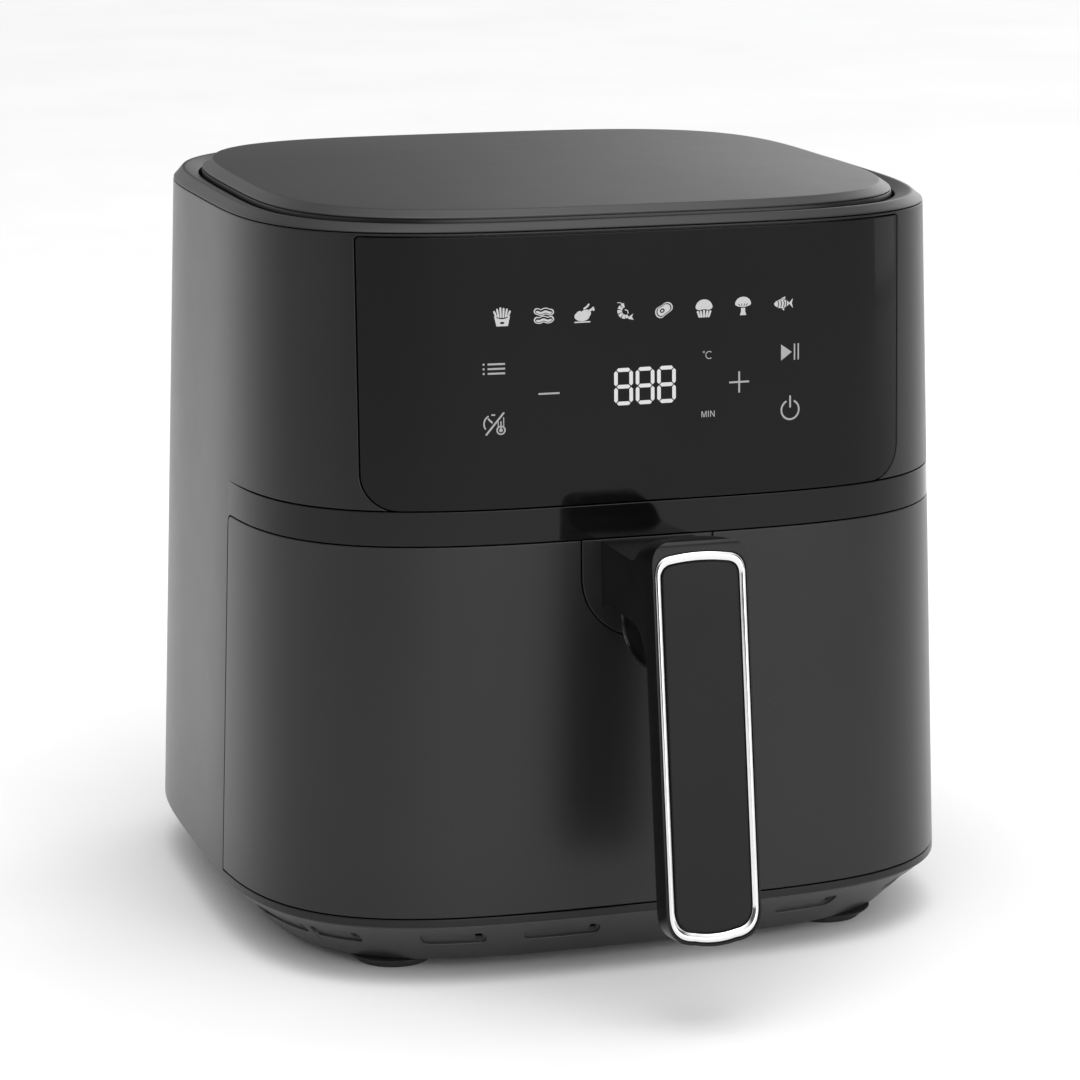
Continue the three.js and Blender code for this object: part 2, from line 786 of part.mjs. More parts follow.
function drawerSkin(outer, inner) {
  const half = SEAM / 2;
  const wall = bodyWall(outer, inner, DRAWER_BOTTOM - 1, DRAWER_TOP + 1);
  const region = frontRegion(
    DRAWER_SIDE_SEAM - half, DRAWER_BOTTOM + half, DRAWER_TOP - half, DRAWER_CORNER - half,
  );
  return wall.intersect(region);
}

function drawerFront() {
  const opening = prismAlongY(plateOutline(-SEAM / 2, DRAWER_TOP + 5), -REACH, 0, 8);
  return cut(drawerSkin(0, WALL), opening);
}

// The moulding inside the drawer front: a lining, a shelf that carries the pot's flange, and
// the lug that presses the safety switch.
function drawerFrame() {
  const lining = WALL + 0.45;
  const shelfTop = POT_RIM - POT_SHEET - GAP;
  const rear = DRAWER_SIDE_SEAM - 0.4;
  const region = frontRegion(rear, 30, DRAWER_TOP - 3, 0);
  const wall = bodyWall(lining, lining + 2.4, 30, DRAWER_TOP - 3);
  const shelf = bodySlab(lining + 1, shelfTop - 2.4, shelfTop);
  const potWay = panTurned([
    [0, 0], [POT_HALF + 1, 0], [POT_HALF + 1, REACH], [0, REACH],
  ]);
  const lugFace = SWITCH_FRONT - PLUNGER_REACH - GAP;
  const lug = block(SWITCH_X - 3, SWITCH_X + 7.8, -60, lugFace, SWITCH_Z - 4, SWITCH_Z + 4);
  const shelfOnly = cut(shelf, potWay);
  const body = union(wall, shelfOnly).intersect(region);
  return cut(union(body, lug), screwHoles(-REACH, -100));
}

// A sheet-metal channel between the drawer frame and the pot's front wall.
function potBracket() {
  const channel = union(
    block(-32, 32, -133.1, -131.7, 120, 159),
    block(-32, 32, -133.1, -114, 120, 121.4),
    block(-32, 32, -115.4, -114, 120, 159),
  );
  return cut(channel, screwHoles(-140, -125));
}

function handleScrew() {
  const shank = rod(2, -27, 1, 0, 0, 12);
  const head = rod(4.2, 0, 3, 0, 0, 16);
  return union(shank, head);
}

// The pan: walls that flare a little, a rounded foot and a flange round the top.
function cookingPot() {
  const rise = POT_BOTTOM + 14;
  const inner = POT_HALF - POT_SHEET;
  return panTurned([
    [0, POT_BOTTOM],
    [94, POT_BOTTOM],
    [104, POT_BOTTOM + 4],
    [108.5, rise],
    [POT_HALF, POT_RIM - POT_SHEET],
    [POT_FLANGE_HALF, POT_RIM - POT_SHEET],
    [POT_FLANGE_HALF, POT_RIM],
    [inner, POT_RIM],
    [107.3, rise],
    [103, POT_BOTTOM + 5.2],
    [93.5, POT_BOTTOM + POT_SHEET],
    [0, POT_BOTTOM + POT_SHEET],
  ]);
}

// ---- Handle -------------------------------------------------------------------------------

function gripFront(z) {
  return GRIP_FRONT_MIDDLE + GRIP_SLOPE * (z - GRIP_MIDDLE_HEIGHT);
}

// The grip as seen square to its front: straight sides, arched ends and round corners.
// Heights are measured along the grip's own lean, from GRIP_MIDDLE_HEIGHT.
function gripOutline(margin, top, bottom) {
  const half = HANDLE_HALF_WIDTH - margin;
  const [highCorner, lowCorner] = [7.5 - margin, 10.5 - margin];
  const [topSag, bottomSag] = [2.2, 2.9];
  const shape = new THREE.Shape();
  shape.moveTo(-half, bottom + lowCorner + bottomSag);
  shape.quadraticCurveTo(-half, bottom + bottomSag * 0.6, -half + lowCorner, bottom + bottomSag * 0.4);
  shape.quadraticCurveTo(0, bottom - bottomSag * 0.3, half - lowCorner, bottom + bottomSag * 0.4);
  shape.quadraticCurveTo(half, bottom + bottomSag * 0.6, half, bottom + lowCorner + bottomSag);
  shape.lineTo(half, top - highCorner - topSag);
  shape.quadraticCurveTo(half, top - topSag * 0.8, half - highCorner, top - topSag * 0.5);
  shape.quadraticCurveTo(0, top + topSag * 0.3, -half + highCorner, top - topSag * 0.5);
  shape.quadraticCurveTo(-half, top - topSag * 0.8, -half, top - highCorner - topSag);
  return shape;
}

// A prism square to the grip's front, between two distances in front of its front plane.
function gripPrism(shape, back, front) {
  const prism = extrude(shape, front - back, 5);
  prism.translate(0, 0, back);
  prism.rotateX(Math.PI / 2 - GRIP_LEAN);
  prism.translate(0, GRIP_FRONT_MIDDLE, GRIP_MIDDLE_HEIGHT);
  return toSolid(prism);
}

const RING_TOP = (178.8 - GRIP_MIDDLE_HEIGHT) / Math.cos(GRIP_LEAN);
const RING_BOTTOM = (35 - GRIP_MIDDLE_HEIGHT) / Math.cos(GRIP_LEAN);
const RING_WIDTH = 3.3;
const RING_PROUD = 0.5;
const POCKET_DEPTH = 3;
const SHELL_LIP = 0.7;

// Neck and grip from the side, from the drawer front round the grip and back.
function handleSide() {
  const back = (z) => gripFront(z) + GRIP_DEPTH;
  const shape = new THREE.Shape();
  shape.moveTo(-137.5, NECK_TOP);
  shape.lineTo(-173, NECK_TOP);
  shape.quadraticCurveTo(-178.5, NECK_TOP, -181, NECK_TOP + 6);
  shape.quadraticCurveTo(-184, GRIP_TOP, -190, GRIP_TOP);
  shape.lineTo(-194.5, GRIP_TOP);
  shape.quadraticCurveTo(-196.6, GRIP_TOP - 0.6, gripFront(GRIP_TOP - 3), GRIP_TOP - 3);
  shape.lineTo(gripFront(GRIP_BOTTOM), GRIP_BOTTOM);
  shape.lineTo(back(GRIP_BOTTOM) - 3, GRIP_BOTTOM);
  shape.quadraticCurveTo(back(GRIP_BOTTOM + 2), GRIP_BOTTOM, back(GRIP_BOTTOM + 6), GRIP_BOTTOM + 6);
  shape.lineTo(back(NECK_BOTTOM - 18), NECK_BOTTOM - 18);
  shape.quadraticCurveTo(back(NECK_BOTTOM - 3), NECK_BOTTOM - 1, -176, NECK_BOTTOM);
  shape.lineTo(-147, NECK_BOTTOM);
  shape.quadraticCurveTo(-139, NECK_BOTTOM, -137.5, NECK_BOTTOM - 8);
  return shape;
}

function handleShell() {
  const half = SEAM / 2;
  const side = prismAlongX(handleSide(), -HANDLE_HALF_WIDTH, HANDLE_HALF_WIDTH, 6);
  const high = (GRIP_TOP + 1.2 - GRIP_MIDDLE_HEIGHT) / Math.cos(GRIP_LEAN);
  const low = (GRIP_BOTTOM - GRIP_MIDDLE_HEIGHT) / Math.cos(GRIP_LEAN);
  const grip = gripPrism(gripOutline(0, high, low), -20, 5);
  const neck = block(
    -HANDLE_HALF_WIDTH, HANDLE_HALF_WIDTH, -188, -130, NECK_BOTTOM - 12, NECK_TOP,
  );
  const plate = bodyWall(0, WALL, PLATE_BOTTOM, DRAWER_TOP - half).intersect(
    prismAlongY(plateOutline(half, DRAWER_TOP + 5), -REACH, 0, 8),
  );
  const pocket = gripPrism(gripOutline(SHELL_LIP, RING_TOP + 0.4, RING_BOTTOM - 0.4), -POCKET_DEPTH, 10);
  const body = union(side.intersect(union(grip, neck)), plate);
  return cut(body, pocket, screwHoles(-162, -130));
}

function handleTrimRing() {
  const outer = gripOutline(SHELL_LIP + GAP, RING_TOP, RING_BOTTOM);
  const inner = gripOutline(SHELL_LIP + GAP + RING_WIDTH, RING_TOP - RING_WIDTH, RING_BOTTOM + RING_WIDTH);
  const back = -POCKET_DEPTH + GAP;
  return cut(gripPrism(outer, back, RING_PROUD), gripPrism(inner, back - 5, RING_PROUD + 5));
}

function handleInsert() {
  const step = RING_WIDTH + 0.5;
  const shape = gripOutline(SHELL_LIP + GAP + step, RING_TOP - step, RING_BOTTOM + step);
  return gripPrism(shape, -POCKET_DEPTH + GAP, 0);
}

const GUARD_HALF_WIDTH = 16.6;

// The rounded web in the corner between the neck and the grip, with a rim round its sides.
function handleGuard() {
  const edge = (inset) => {
    const top = NECK_BOTTOM - 0.5 - inset;
    const low = NECK_BOTTOM - 16 + inset;
    const shape = new THREE.Shape();
    shape.moveTo(-155.5 - inset, top);
    shape.quadraticCurveTo(-157.5 - inset, low + 1, -178, low);
    shape.lineTo(-190 + 1.5 * inset, low);
    shape.lineTo(-188 + 1.5 * inset, NECK_BOTTOM - 9);
    shape.quadraticCurveTo(-184.5 + inset, top - 0.5, -176, top);
    return shape;
  };
  const web = prismAlongX(edge(0), -GUARD_HALF_WIDTH, GUARD_HALF_WIDTH, 6);
  const recess = 1.2;
  const left = prismAlongX(edge(1.1), -REACH, -GUARD_HALF_WIDTH + recess, 6);
  const right = prismAlongX(edge(1.1), GUARD_HALF_WIDTH - recess, REACH, 6);
  return cut(web, left, right);
}

// ---- Tray ---------------------------------------------------------------------------------

const LEG_PLACE = 70;

// The perforated plate that lifts out of the pot: a turned-up edge, a finger hole in the
// middle and four legs that stand on the pot's floor.
function crisperPlate() {
  const top = TRAY_HEIGHT + TRAY_THICKNESS;
  const plate = panTurned([
    [0, TRAY_HEIGHT],
    [TRAY_HALF, TRAY_HEIGHT],
    [TRAY_HALF, top + 3],
    [TRAY_HALF - 1.6, top + 3],
    [TRAY_HALF - 1.6, top],
    [0, top],
  ]);
  const holes = [post(11, 0, 100, 0, 0, 16)];
  const pitch = 42;
  for (let row = -1.5; row <= 1.5; row += 1) {
    for (let column = -1.5; column <= 1.5; column += 1) {
      holes.push(post(7, 0, 100, column * pitch, row * pitch, 6));
    }
  }
  const legs = [];
  for (const [x, y] of [[-1, -1], [1, -1], [1, 1], [-1, 1]]) {
    legs.push(post(4, POT_BOTTOM + POT_SHEET + GAP, TRAY_HEIGHT + 0.5, x * LEG_PLACE, y * LEG_PLACE, 8));
  }
  return union(cut(plate, ...holes), ...legs);
}

// A silicone clip over the plate's edge, which keeps it off the pot's wall.
function plateBumper() {
  const rimTop = TRAY_HEIGHT + TRAY_THICKNESS + 3;
  const outside = block(-9, 9, -4.5, 1.5, TRAY_HEIGHT - 2.4, rimTop + 2);
  const slot = block(-10, 10, -1.6 - GAP, GAP, TRAY_HEIGHT - GAP, rimTop + GAP);
  const shelf = block(-10, 10, -10, 0, TRAY_HEIGHT - GAP, TRAY_HEIGHT + TRAY_THICKNESS + GAP);
  return cut(outside, slot, shelf);
}

// ---- Assembly -----------------------------------------------------------------------------

function part(name, solid, material) {
  const mesh = new THREE.Mesh(toGeometry(solid), material);
  mesh.name = name;
  return mesh;
}

function placed(mesh, x, y, z, turn = 0) {
  mesh.position.set(x, y, z);
  mesh.rotation.z = turn;
  return mesh;
}

function housing() {
  const group = new THREE.Group();
  group.add(
    part("outer_shell", outerShell(), SATIN_BLACK),
    part("front_trim_band", frontTrimBand(), GLOSS_BLACK),
    part("control_panel", controlPanel(), GLOSS_BLACK),
    part("top_rim", topRim(), SATIN_BLACK),
    part("top_cover", topCover(), SATIN_BLACK),
    part("base_pan", basePan(), SATIN_BLACK),
    part("rear_vent_grille", rearVentGrille(), SATIN_BLACK),
  );
  for (const [end, y] of [["front", -FOOT_Y], ["rear", FOOT_Y]]) {
    for (const [side, x] of [["left", -FOOT_X], ["right", FOOT_X]]) {
      group.add(placed(part(`foot_${end}_${side}`, foot(), RUBBER), x, y, 0));
    }
  }
  const gland = part("cord_gland", cordGland(), MATTE_BLACK);
  gland.rotation.x = Math.PI / 2;
  gland.position.set(GLAND_X, GLAND_BACK, GLAND_Z);
  group.add(gland);
  return group;
}

function heatingChamber() {
  const group = new THREE.Group();
  group.add(
    part("support_deck", supportDeck(), SHEET_STEEL),
    part("cavity_liner", cavityLiner(), SHEET_STEEL),
    part("heat_reflector", heatReflector(), SHEET_STEEL),
    part("heating_element", heatingElement(), DARK_STEEL),
    part("element_guard", elementGuard(), SHEET_STEEL),
    part("temperature_probe", temperatureProbe(), SHEET_STEEL),
    part("thermal_cutout", thermalCutout(), PART_BLACK),
    part("air_duct", airDuct(), MATTE_BLACK),
  );
  return group;
}

function motor() {
  const group = new THREE.Group();
  group.add(
    part("motor_stator", motorStator(), DARK_STEEL),
    part("motor_winding", motorWinding(), COPPER),
    part("motor_bracket_lower", motorBracket(255.5, 0, 3), SHEET_STEEL),
    part("motor_bracket_upper", motorBracket(285, 3, 0), SHEET_STEEL),
    part("motor_rotor", motorRotor(), DARK_STEEL),
    part("motor_shaft", motorShaft(), SHEET_STEEL),
    part("convection_fan", convectionFan(), SHEET_STEEL),
    part("cooling_fan", coolingFan(), PART_BLACK),
    part("fan_nut", fanNut(), SHEET_STEEL),
  );
  return group;
}

function electronics() {
  const group = new THREE.Group();
  group.add(
    part("power_board", powerBoard(), CIRCUIT_GREEN),
    part("power_transformer", powerPart(30, 56, 200, 226, 18), PART_BLACK),
    part("power_relay", powerPart(2, 20, 236, 258, 15), WHITE_PLASTIC),
    part("power_capacitor", powerCapacitor(), PART_BLACK),
    part("panel_carrier", panelCarrier(), MATTE_BLACK),
    part("touch_film", touchFilm(), PART_BLACK),
    part("display_board", displayBoard(), CIRCUIT_GREEN),
    part("led_module", ledModule(), WHITE_PLASTIC),
    part("buzzer", buzzer(), PART_BLACK),
    part("display_cable", displayCable(), PART_BLACK),
    part("heater_lead_1", heaterLead(RISER_START, [-121, -6, 262]), PART_BLACK),
    part("heater_lead_2", heaterLead(RISER_END, [-121, -12, 268]), PART_BLACK),
    part("switch_body", switchBody(), PART_BLACK),
    part("switch_plunger", switchPlunger(), WHITE_PLASTIC),
  );
  return group;
}

function drawer() {
  const group = new THREE.Group();
  group.add(
    part("drawer_front", drawerFront(), SATIN_BLACK),
    part("drawer_frame", drawerFrame(), MATTE_BLACK),
    part("cooking_pot", cookingPot(), NON_STICK),
    part("pot_bracket", potBracket(), SHEET_STEEL),
    part("handle_shell", handleShell(), SATIN_BLACK),
    part("handle_trim_ring", handleTrimRing(), CHROME),
    part("handle_insert", handleInsert(), SATIN_BLACK),
    part("handle_guard", handleGuard(), SATIN_BLACK),
  );
  for (const [side, x] of [["left", -SCREW_X], ["right", SCREW_X]]) {
    group.add(placed(part(`handle_screw_${side}`, handleScrew(), SHEET_STEEL), x, -131.4, SCREW_Z));
  }
  return group;
}

function tray() {
  const group = new THREE.Group();
  group.add(part("crisper_plate", crisperPlate(), NON_STICK));
  for (let i = 0; i < 4; i += 1) {
    const turn = (i * Math.PI) / 2;
    const bumper = part(`plate_bumper_${i + 1}`, plateBumper(), SILICONE);
    group.add(placed(bumper, -TRAY_HALF * Math.sin(turn), TRAY_HALF * Math.cos(turn), 0, turn));
  }
  return group;
}

const airFryer = new THREE.Group();
airFryer.add(housing(), heatingChamber(), motor(), electronics(), drawer(), tray());
const extent = new THREE.Box3().setFromObject(airFryer);
airFryer.position.y = -(extent.min.y + extent.max.y) / 2;

export default airFryer;
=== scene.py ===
"""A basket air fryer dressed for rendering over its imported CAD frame.

Outside pieces are rebuilt on the same surfaces as the CAD solids, with fine curves, bevelled
edges and exact normals, and stand for those nodes. Inside pieces keep their CAD mesh and get
their material here. Lengths are in millimetres about the housing's centre line, with the front
towards -Y, and `to_row` turns them into the frame's metres.
"""

import json
import math

import bmesh
import bpy
import numpy as np

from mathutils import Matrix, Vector


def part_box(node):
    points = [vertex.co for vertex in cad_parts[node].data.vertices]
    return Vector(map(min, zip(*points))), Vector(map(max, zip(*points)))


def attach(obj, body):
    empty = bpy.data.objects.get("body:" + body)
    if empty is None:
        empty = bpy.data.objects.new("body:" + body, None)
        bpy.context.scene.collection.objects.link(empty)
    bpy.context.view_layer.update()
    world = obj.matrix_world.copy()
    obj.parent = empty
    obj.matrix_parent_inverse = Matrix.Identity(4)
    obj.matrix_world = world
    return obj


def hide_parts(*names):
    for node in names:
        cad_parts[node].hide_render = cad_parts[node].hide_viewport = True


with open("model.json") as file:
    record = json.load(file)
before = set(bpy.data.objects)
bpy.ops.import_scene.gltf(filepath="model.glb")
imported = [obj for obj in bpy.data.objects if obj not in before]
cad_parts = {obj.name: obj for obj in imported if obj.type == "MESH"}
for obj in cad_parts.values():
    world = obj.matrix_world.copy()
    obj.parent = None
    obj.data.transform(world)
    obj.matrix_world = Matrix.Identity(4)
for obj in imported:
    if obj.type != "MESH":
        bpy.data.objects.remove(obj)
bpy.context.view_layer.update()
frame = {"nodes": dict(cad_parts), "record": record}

# ---- Dimensions, as in the CAD source ------------------------------------------------------

SHAFT_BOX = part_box("motor_shaft")
CENTRE_Y = (SHAFT_BOX[0].y + SHAFT_BOX[1].y) / 2 * 1000

HALF_WIDTH = 145.0
HALF_DEPTH = 138.6
DATUM_HEIGHT = 177.0
TAPER = 0.0332
EXPONENT = 3.7165
PLAN_RADIUS = 150.0

BASE_BOTTOM = 4.4
SHELL_BOTTOM = 23.5
DRAWER_BOTTOM = 27.0
DRAWER_TOP = 172.2
BAND_TOP = 185.7
PANEL_TOP = 289.0
SHELL_TOP = 290.2
RIM_CREST = 294.6  # at the middle of the sides
RIM_CLIMB = 1.2  # rise of the rim's crest from there to the back
SHOULDER_FOOT = 295.1
SHOULDER_TOP = 298.4
SHOULDER_CLIMB = 1.45
COVER_TOP = 301.3
TILT_RELIEF = 0.24  # taken off the crown, so that its climb stays in the CAD's box

WALL = 3.0
SEAM = 0.5
GAP = 0.35
DRAWER_SIDE_SEAM = -52.0
DRAWER_CORNER = 3.5
PANEL_HALF_WIDTH = 109.0
PANEL_LOW_CORNER = 13.5
PANEL_HIGH_CORNER = 1.5

HANDLE_HALF_WIDTH = 18.6
NECK_TOP = 171.5
NECK_BOTTOM = 148.4
GRIP_TOP = 182.6
GRIP_BOTTOM = 33.6
GRIP_FRONT_MIDDLE = -206.8
GRIP_MIDDLE_HEIGHT = 113.0
GRIP_SLOPE = 0.149
GRIP_DEPTH = 11.3
GRIP_LEAN = math.atan(GRIP_SLOPE)
PLATE_HALF_WIDTH = 26.4
PLATE_BOTTOM = 133.4
PLATE_CORNER = 24.0
RING_WIDTH = 3.3
RING_SIDE_SHARE = 0.72  # the ring is narrower down its sides than across its ends
POCKET_DEPTH = 3.0
SHELL_LIP = 0.7
RING_TOP = (178.8 - GRIP_MIDDLE_HEIGHT) / math.cos(GRIP_LEAN)
RING_BOTTOM = (35.0 - GRIP_MIDDLE_HEIGHT) / math.cos(GRIP_LEAN)
GUARD_HALF_WIDTH = 16.6
GUARD_RECESS = 1.2

SLOT_HEIGHT = 16.0
SLOT_TALL = 5.5
FRONT_SLOTS = [(-88.3, -63.5), (-48.5, -17.8), (13.0, 42.0), (57.0, 82.0)]
SIDE_SLOTS = [(-102.0, -72.0), (72.0, 102.0)]
CORNER_SLOT = 22.0
SLOT_CORNERS = [(-122, -117), (122, -117), (122, 117), (-122, 117)]

OUTLET_HALF_WIDTH = 47.0
OUTLET_LOW = 225.0
OUTLET_HIGH = 271.0
GLAND_X = 45.0
GLAND_HEIGHT = 46.0
GLAND_HOLE = 7.0
FOOT_X = 91.0
FOOT_Y = 98.5


def to_row(points):
    """Millimetres about the housing's centre line to metres in the frame."""
    moved = np.array(points, float).reshape(-1, 3) + (0.0, CENTRE_Y, 0.0)
    return moved / 1000


# ---- The housing's surface -----------------------------------------------------------------


def perimeter_table(samples):
    """Arc length from the front centre round the right side to the back centre, against the
    unit outline's coordinates: x share, and forward share."""
    middle = 2 ** (-1 / EXPONENT)
    first = np.linspace(0, middle, samples)
    other = (1 - first**EXPONENT) ** (1 / EXPONENT)
    across = np.concatenate([first, other[::-1][1:]])
    forward = np.concatenate([other, first[::-1][1:]])
    across = np.concatenate([across, across[::-1][1:]])
    forward = np.concatenate([forward, -forward[::-1][1:]])
    steps = np.hypot(HALF_WIDTH * np.diff(across), HALF_DEPTH * np.diff(forward))
    return np.concatenate([[0], np.cumsum(steps)]), across, forward


ARC, ACROSS, FORWARD = perimeter_table(1500)
HALF_LOOP = ARC[-1]
LOOP_SPACING = 2.2
QUARTER = len(ARC) // 2


def half_sizes(z, inset):
    """Half width and half depth of the plan at a height, with its profile's inset."""
    share = (PLAN_RADIUS - inset) / PLAN_RADIUS
    grow = TAPER * (DATUM_HEIGHT - z)
    return (HALF_WIDTH + grow) * share, (HALF_DEPTH + grow) * share


def unit_outline(u):
    """Across and forward shares of the plan at places along the perimeter."""
    return np.sign(u) * np.interp(np.abs(u), ARC, ACROSS), np.interp(np.abs(u), ARC, FORWARD)


def u_at_x(x, z, inset=0.0):
    """Place along the perimeter of a point on the front with this x."""
    share = np.abs(x) / half_sizes(z, inset)[0]
    return np.sign(x) * np.interp(share, ACROSS[: QUARTER + 1], ARC[: QUARTER + 1])


def u_at_y(y, z, side, inset=0.0):
    """Place along the perimeter of a point on the left (-1) or right (1) side with this y."""
    share = -y / half_sizes(z, inset)[1]
    return side * np.interp(-share, -FORWARD, ARC)


def on_body(u, z, depth=0.0, inset=None):
    """Points on the housing's surface, sunk by depth, and the directions along, out and up."""
    u, z = np.broadcast_arrays(np.asarray(u, float), np.asarray(z, float))
    inset = inset or (lambda height: np.zeros_like(height))
    across, forward = unit_outline(u)
    a, b = half_sizes(z, inset(z))
    step = 0.05
    a_up, b_up = half_sizes(z + step, inset(z + step))
    a_low, b_low = half_sizes(z - step, inset(z - step))
    rise_a, rise_b = (a_up - a_low) / (2 * step), (b_up - b_low) / (2 * step)
    out = np.stack(
        [
            np.sign(across) * np.abs(across) ** (EXPONENT - 1) / a,
            -np.sign(forward) * np.abs(forward) ** (EXPONENT - 1) / b,
            -rise_a * np.abs(across) ** EXPONENT / a - rise_b * np.abs(forward) ** EXPONENT / b,
        ],
        -1,
    )
    out /= np.linalg.norm(out, axis=-1, keepdims=True)
    along = np.stack([-out[..., 1], out[..., 0], np.zeros_like(z)], -1)
    along /= np.linalg.norm(along, axis=-1, keepdims=True)
    up = np.cross(out, along)
    place = np.stack([a * across, -b * forward, z], -1) - np.asarray(depth)[..., None] * out
    return place, along, out, up


# ---- Mesh helpers --------------------------------------------------------------------------


def placed(name, data):
    """A new object in the scene."""
    thing = bpy.data.objects.new(name, data)
    bpy.context.scene.collection.objects.link(thing)
    return thing


def object_from(name, mesh, body, material, replaced=()):
    piece = placed(name, mesh)
    mesh.materials.append(material)
    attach(piece, body)
    if replaced:
        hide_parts(*replaced)
    return piece


def smooth(mesh, degrees=30):
    mesh.polygons.foreach_set("use_smooth", [True] * len(mesh.polygons))
    mesh.set_sharp_from_angle(angle=math.radians(degrees))
    return mesh


def strip(bm, low, high):
    """Faces between two rings of the same number of vertices."""
    for i in range(len(low)):
        j = (i + 1) % len(low)
        bm.faces.new((low[i], low[j], high[j], high[i]))


def strips(bm, rings):
    for low, high in zip(rings[:-1], rings[1:]):
        strip(bm, low, high)


def ring_edges(bm, ring):
    """The edges round a ring of vertices."""
    pairs = [(ring[i], ring[(i + 1) % len(ring)]) for i in range(len(ring))]
    return [bm.edges.get(p) or bm.edges.new(p) for p in pairs]


def fill_edges(bm, edges, normal, beauty=True):
    bmesh.ops.triangle_fill(
        bm, use_beauty=beauty, use_dissolve=False, edges=edges, normal=normal
    )


def mesh_of(bm, name):
    mesh = bpy.data.meshes.new(name)
    bm.to_mesh(mesh)
    bm.free()
    return mesh


def above(height, pairs):
    """(place, rise) pairs, as (place, height)."""
    return [(place, height + rise) for place, rise in pairs]


def circle(x, y, radius, count):
    turns = np.linspace(0, 2 * math.pi, count, endpoint=False)
    return x + radius * np.cos(turns), y + radius * np.sin(turns)


def rounded_square(turns, exponent):
    """Points of a rounded square of half size 1, at these turns."""
    x, y = np.cos(turns), np.sin(turns)
    power = 2 / exponent
    return np.sign(x) * np.abs(x) ** power, np.sign(y) * np.abs(y) ** power


def lofted(name, loops, caps=True, closed=False, degrees=30):
    """A skin through loops of the same number of points: capped, open, or closed on itself."""
    count = len(loops[0])
    points = np.concatenate([np.asarray(loop, float).reshape(-1, 3) for loop in loops])
    faces = []
    pairs = len(loops) if closed else len(loops) - 1
    for k in range(pairs):
        low, high = k * count, ((k + 1) % len(loops)) * count
        for i in range(count):
            j = (i + 1) % count
            faces.append((low + i, low + j, high + j, high + i))
    if caps and not closed:
        last = (len(loops) - 1) * count
        faces += [tuple(range(count))[::-1], tuple(range(last, last + count))]
    mesh = bpy.data.meshes.new(name)
    mesh.from_pydata([tuple(p) for p in to_row(points)], [], faces)
    mesh.validate()
    bm = bmesh.new()
    bm.from_mesh(mesh)
    bmesh.ops.remove_doubles(bm, verts=bm.verts, dist=1e-7)
    bmesh.ops.recalc_face_normals(bm, faces=bm.faces)
    bm.to_mesh(mesh)
    bm.free()
    return smooth(mesh, degrees)


def curve_on(run, b, c, steps):
    """Adds a quadratic curve to a run of points, from its last point to c."""
    share = np.linspace(0, 1, steps + 1)[1:, None]
    a, b, c = (np.array(p, float) for p in (run[-1], b, c))
    curve = (1 - share) ** 2 * a + 2 * share * (1 - share) * b + share**2 * c
    run += [tuple(p) for p in curve]


def rounded_rectangle(x0, y0, x1, y1, radii, steps, run=None):
    """An anticlockwise outline. The radii are for the low left, low right, high right and high
    left corners. With run, straight sides get a point at least that often."""
    corners = [(x0, y0, 180), (x1, y0, 270), (x1, y1, 0), (x0, y1, 90)]
    insides = [(1, 1), (-1, 1), (-1, -1), (1, -1)]
    points = []
    for (x, y, start), (dx, dy), radius in zip(corners, insides, radii):
        radius = max(radius, 0.02)
        for i in range(steps + 1):
            turn = math.radians(start + 90 * i / steps)
            across, up = radius * math.cos(turn), radius * math.sin(turn)
            points.append((x + dx * radius + across, y + dy * radius + up))
    if not run:
        return np.array(points)
    dense = []
    for i, (x, y) in enumerate(points):
        nx, ny = points[(i + 1) % len(points)]
        parts = max(1, int(math.hypot(nx - x, ny - y) / run))
        dense += [(x + (nx - x) * k / parts, y + (ny - y) * k / parts) for k in range(parts)]
    return np.array(dense)


def turned(name, profile, centre, segments=96, axis_y=False):
    """A closed profile of (radius, height) turned about a vertical line, or a line along Y."""
    loops = []
    for radius, height in profile:
        x, y = circle(*centre, max(radius, 1e-4), segments)
        z = np.full(segments, height)
        loops.append(np.stack([x, z, y] if axis_y else [x, y, z], 1))
    return lofted(name, loops, closed=True)


def body_loops(profile):
    """A loop round the housing's plan for each (inset, height) of a profile."""
    count = int(2 * HALF_LOOP / LOOP_SPACING)
    across, forward = unit_outline(np.linspace(-HALF_LOOP, HALF_LOOP, count, endpoint=False))
    loops = []
    for inset, z in profile:
        a, b = half_sizes(z, min(inset, PLAN_RADIUS - 0.01))
        loops.append(np.stack([a * across, -b * forward, np.full(count, z)], 1))
    return loops


def around_square(name, profile, exponent):
    """A profile of (half size, height) carried round a rounded square, ends on the axis."""
    count = 320
    x, y = rounded_square(np.linspace(0, 2 * math.pi, count, endpoint=False), exponent)
    x, y = np.append(x, x[0]), np.append(y, y[0])
    place = np.concatenate([[0], np.cumsum(np.hypot(np.diff(x), np.diff(y)))])
    even = np.linspace(0, place[-1], count, endpoint=False)
    x, y = np.interp(even, place, x), np.interp(even, place, y)
    loops = [np.stack([size * x, size * y, np.full(count, z)], 1) for size, z in profile]
    return lofted(name, loops, caps=False, degrees=35)


# ---- Plates: skins drawn flat, then bent round the housing ----------------------------------

FRONT_FACE, BACK_FACE, EDGE_FACE = -1, 1, 0
COLUMN_TURN = 0.02  # radians that a column of a bent plate turns through at most
LOOK_AHEAD = 4  # length over which the bend is measured
CORNER_STEP = 1.6
FLAT_STEP = 5.0


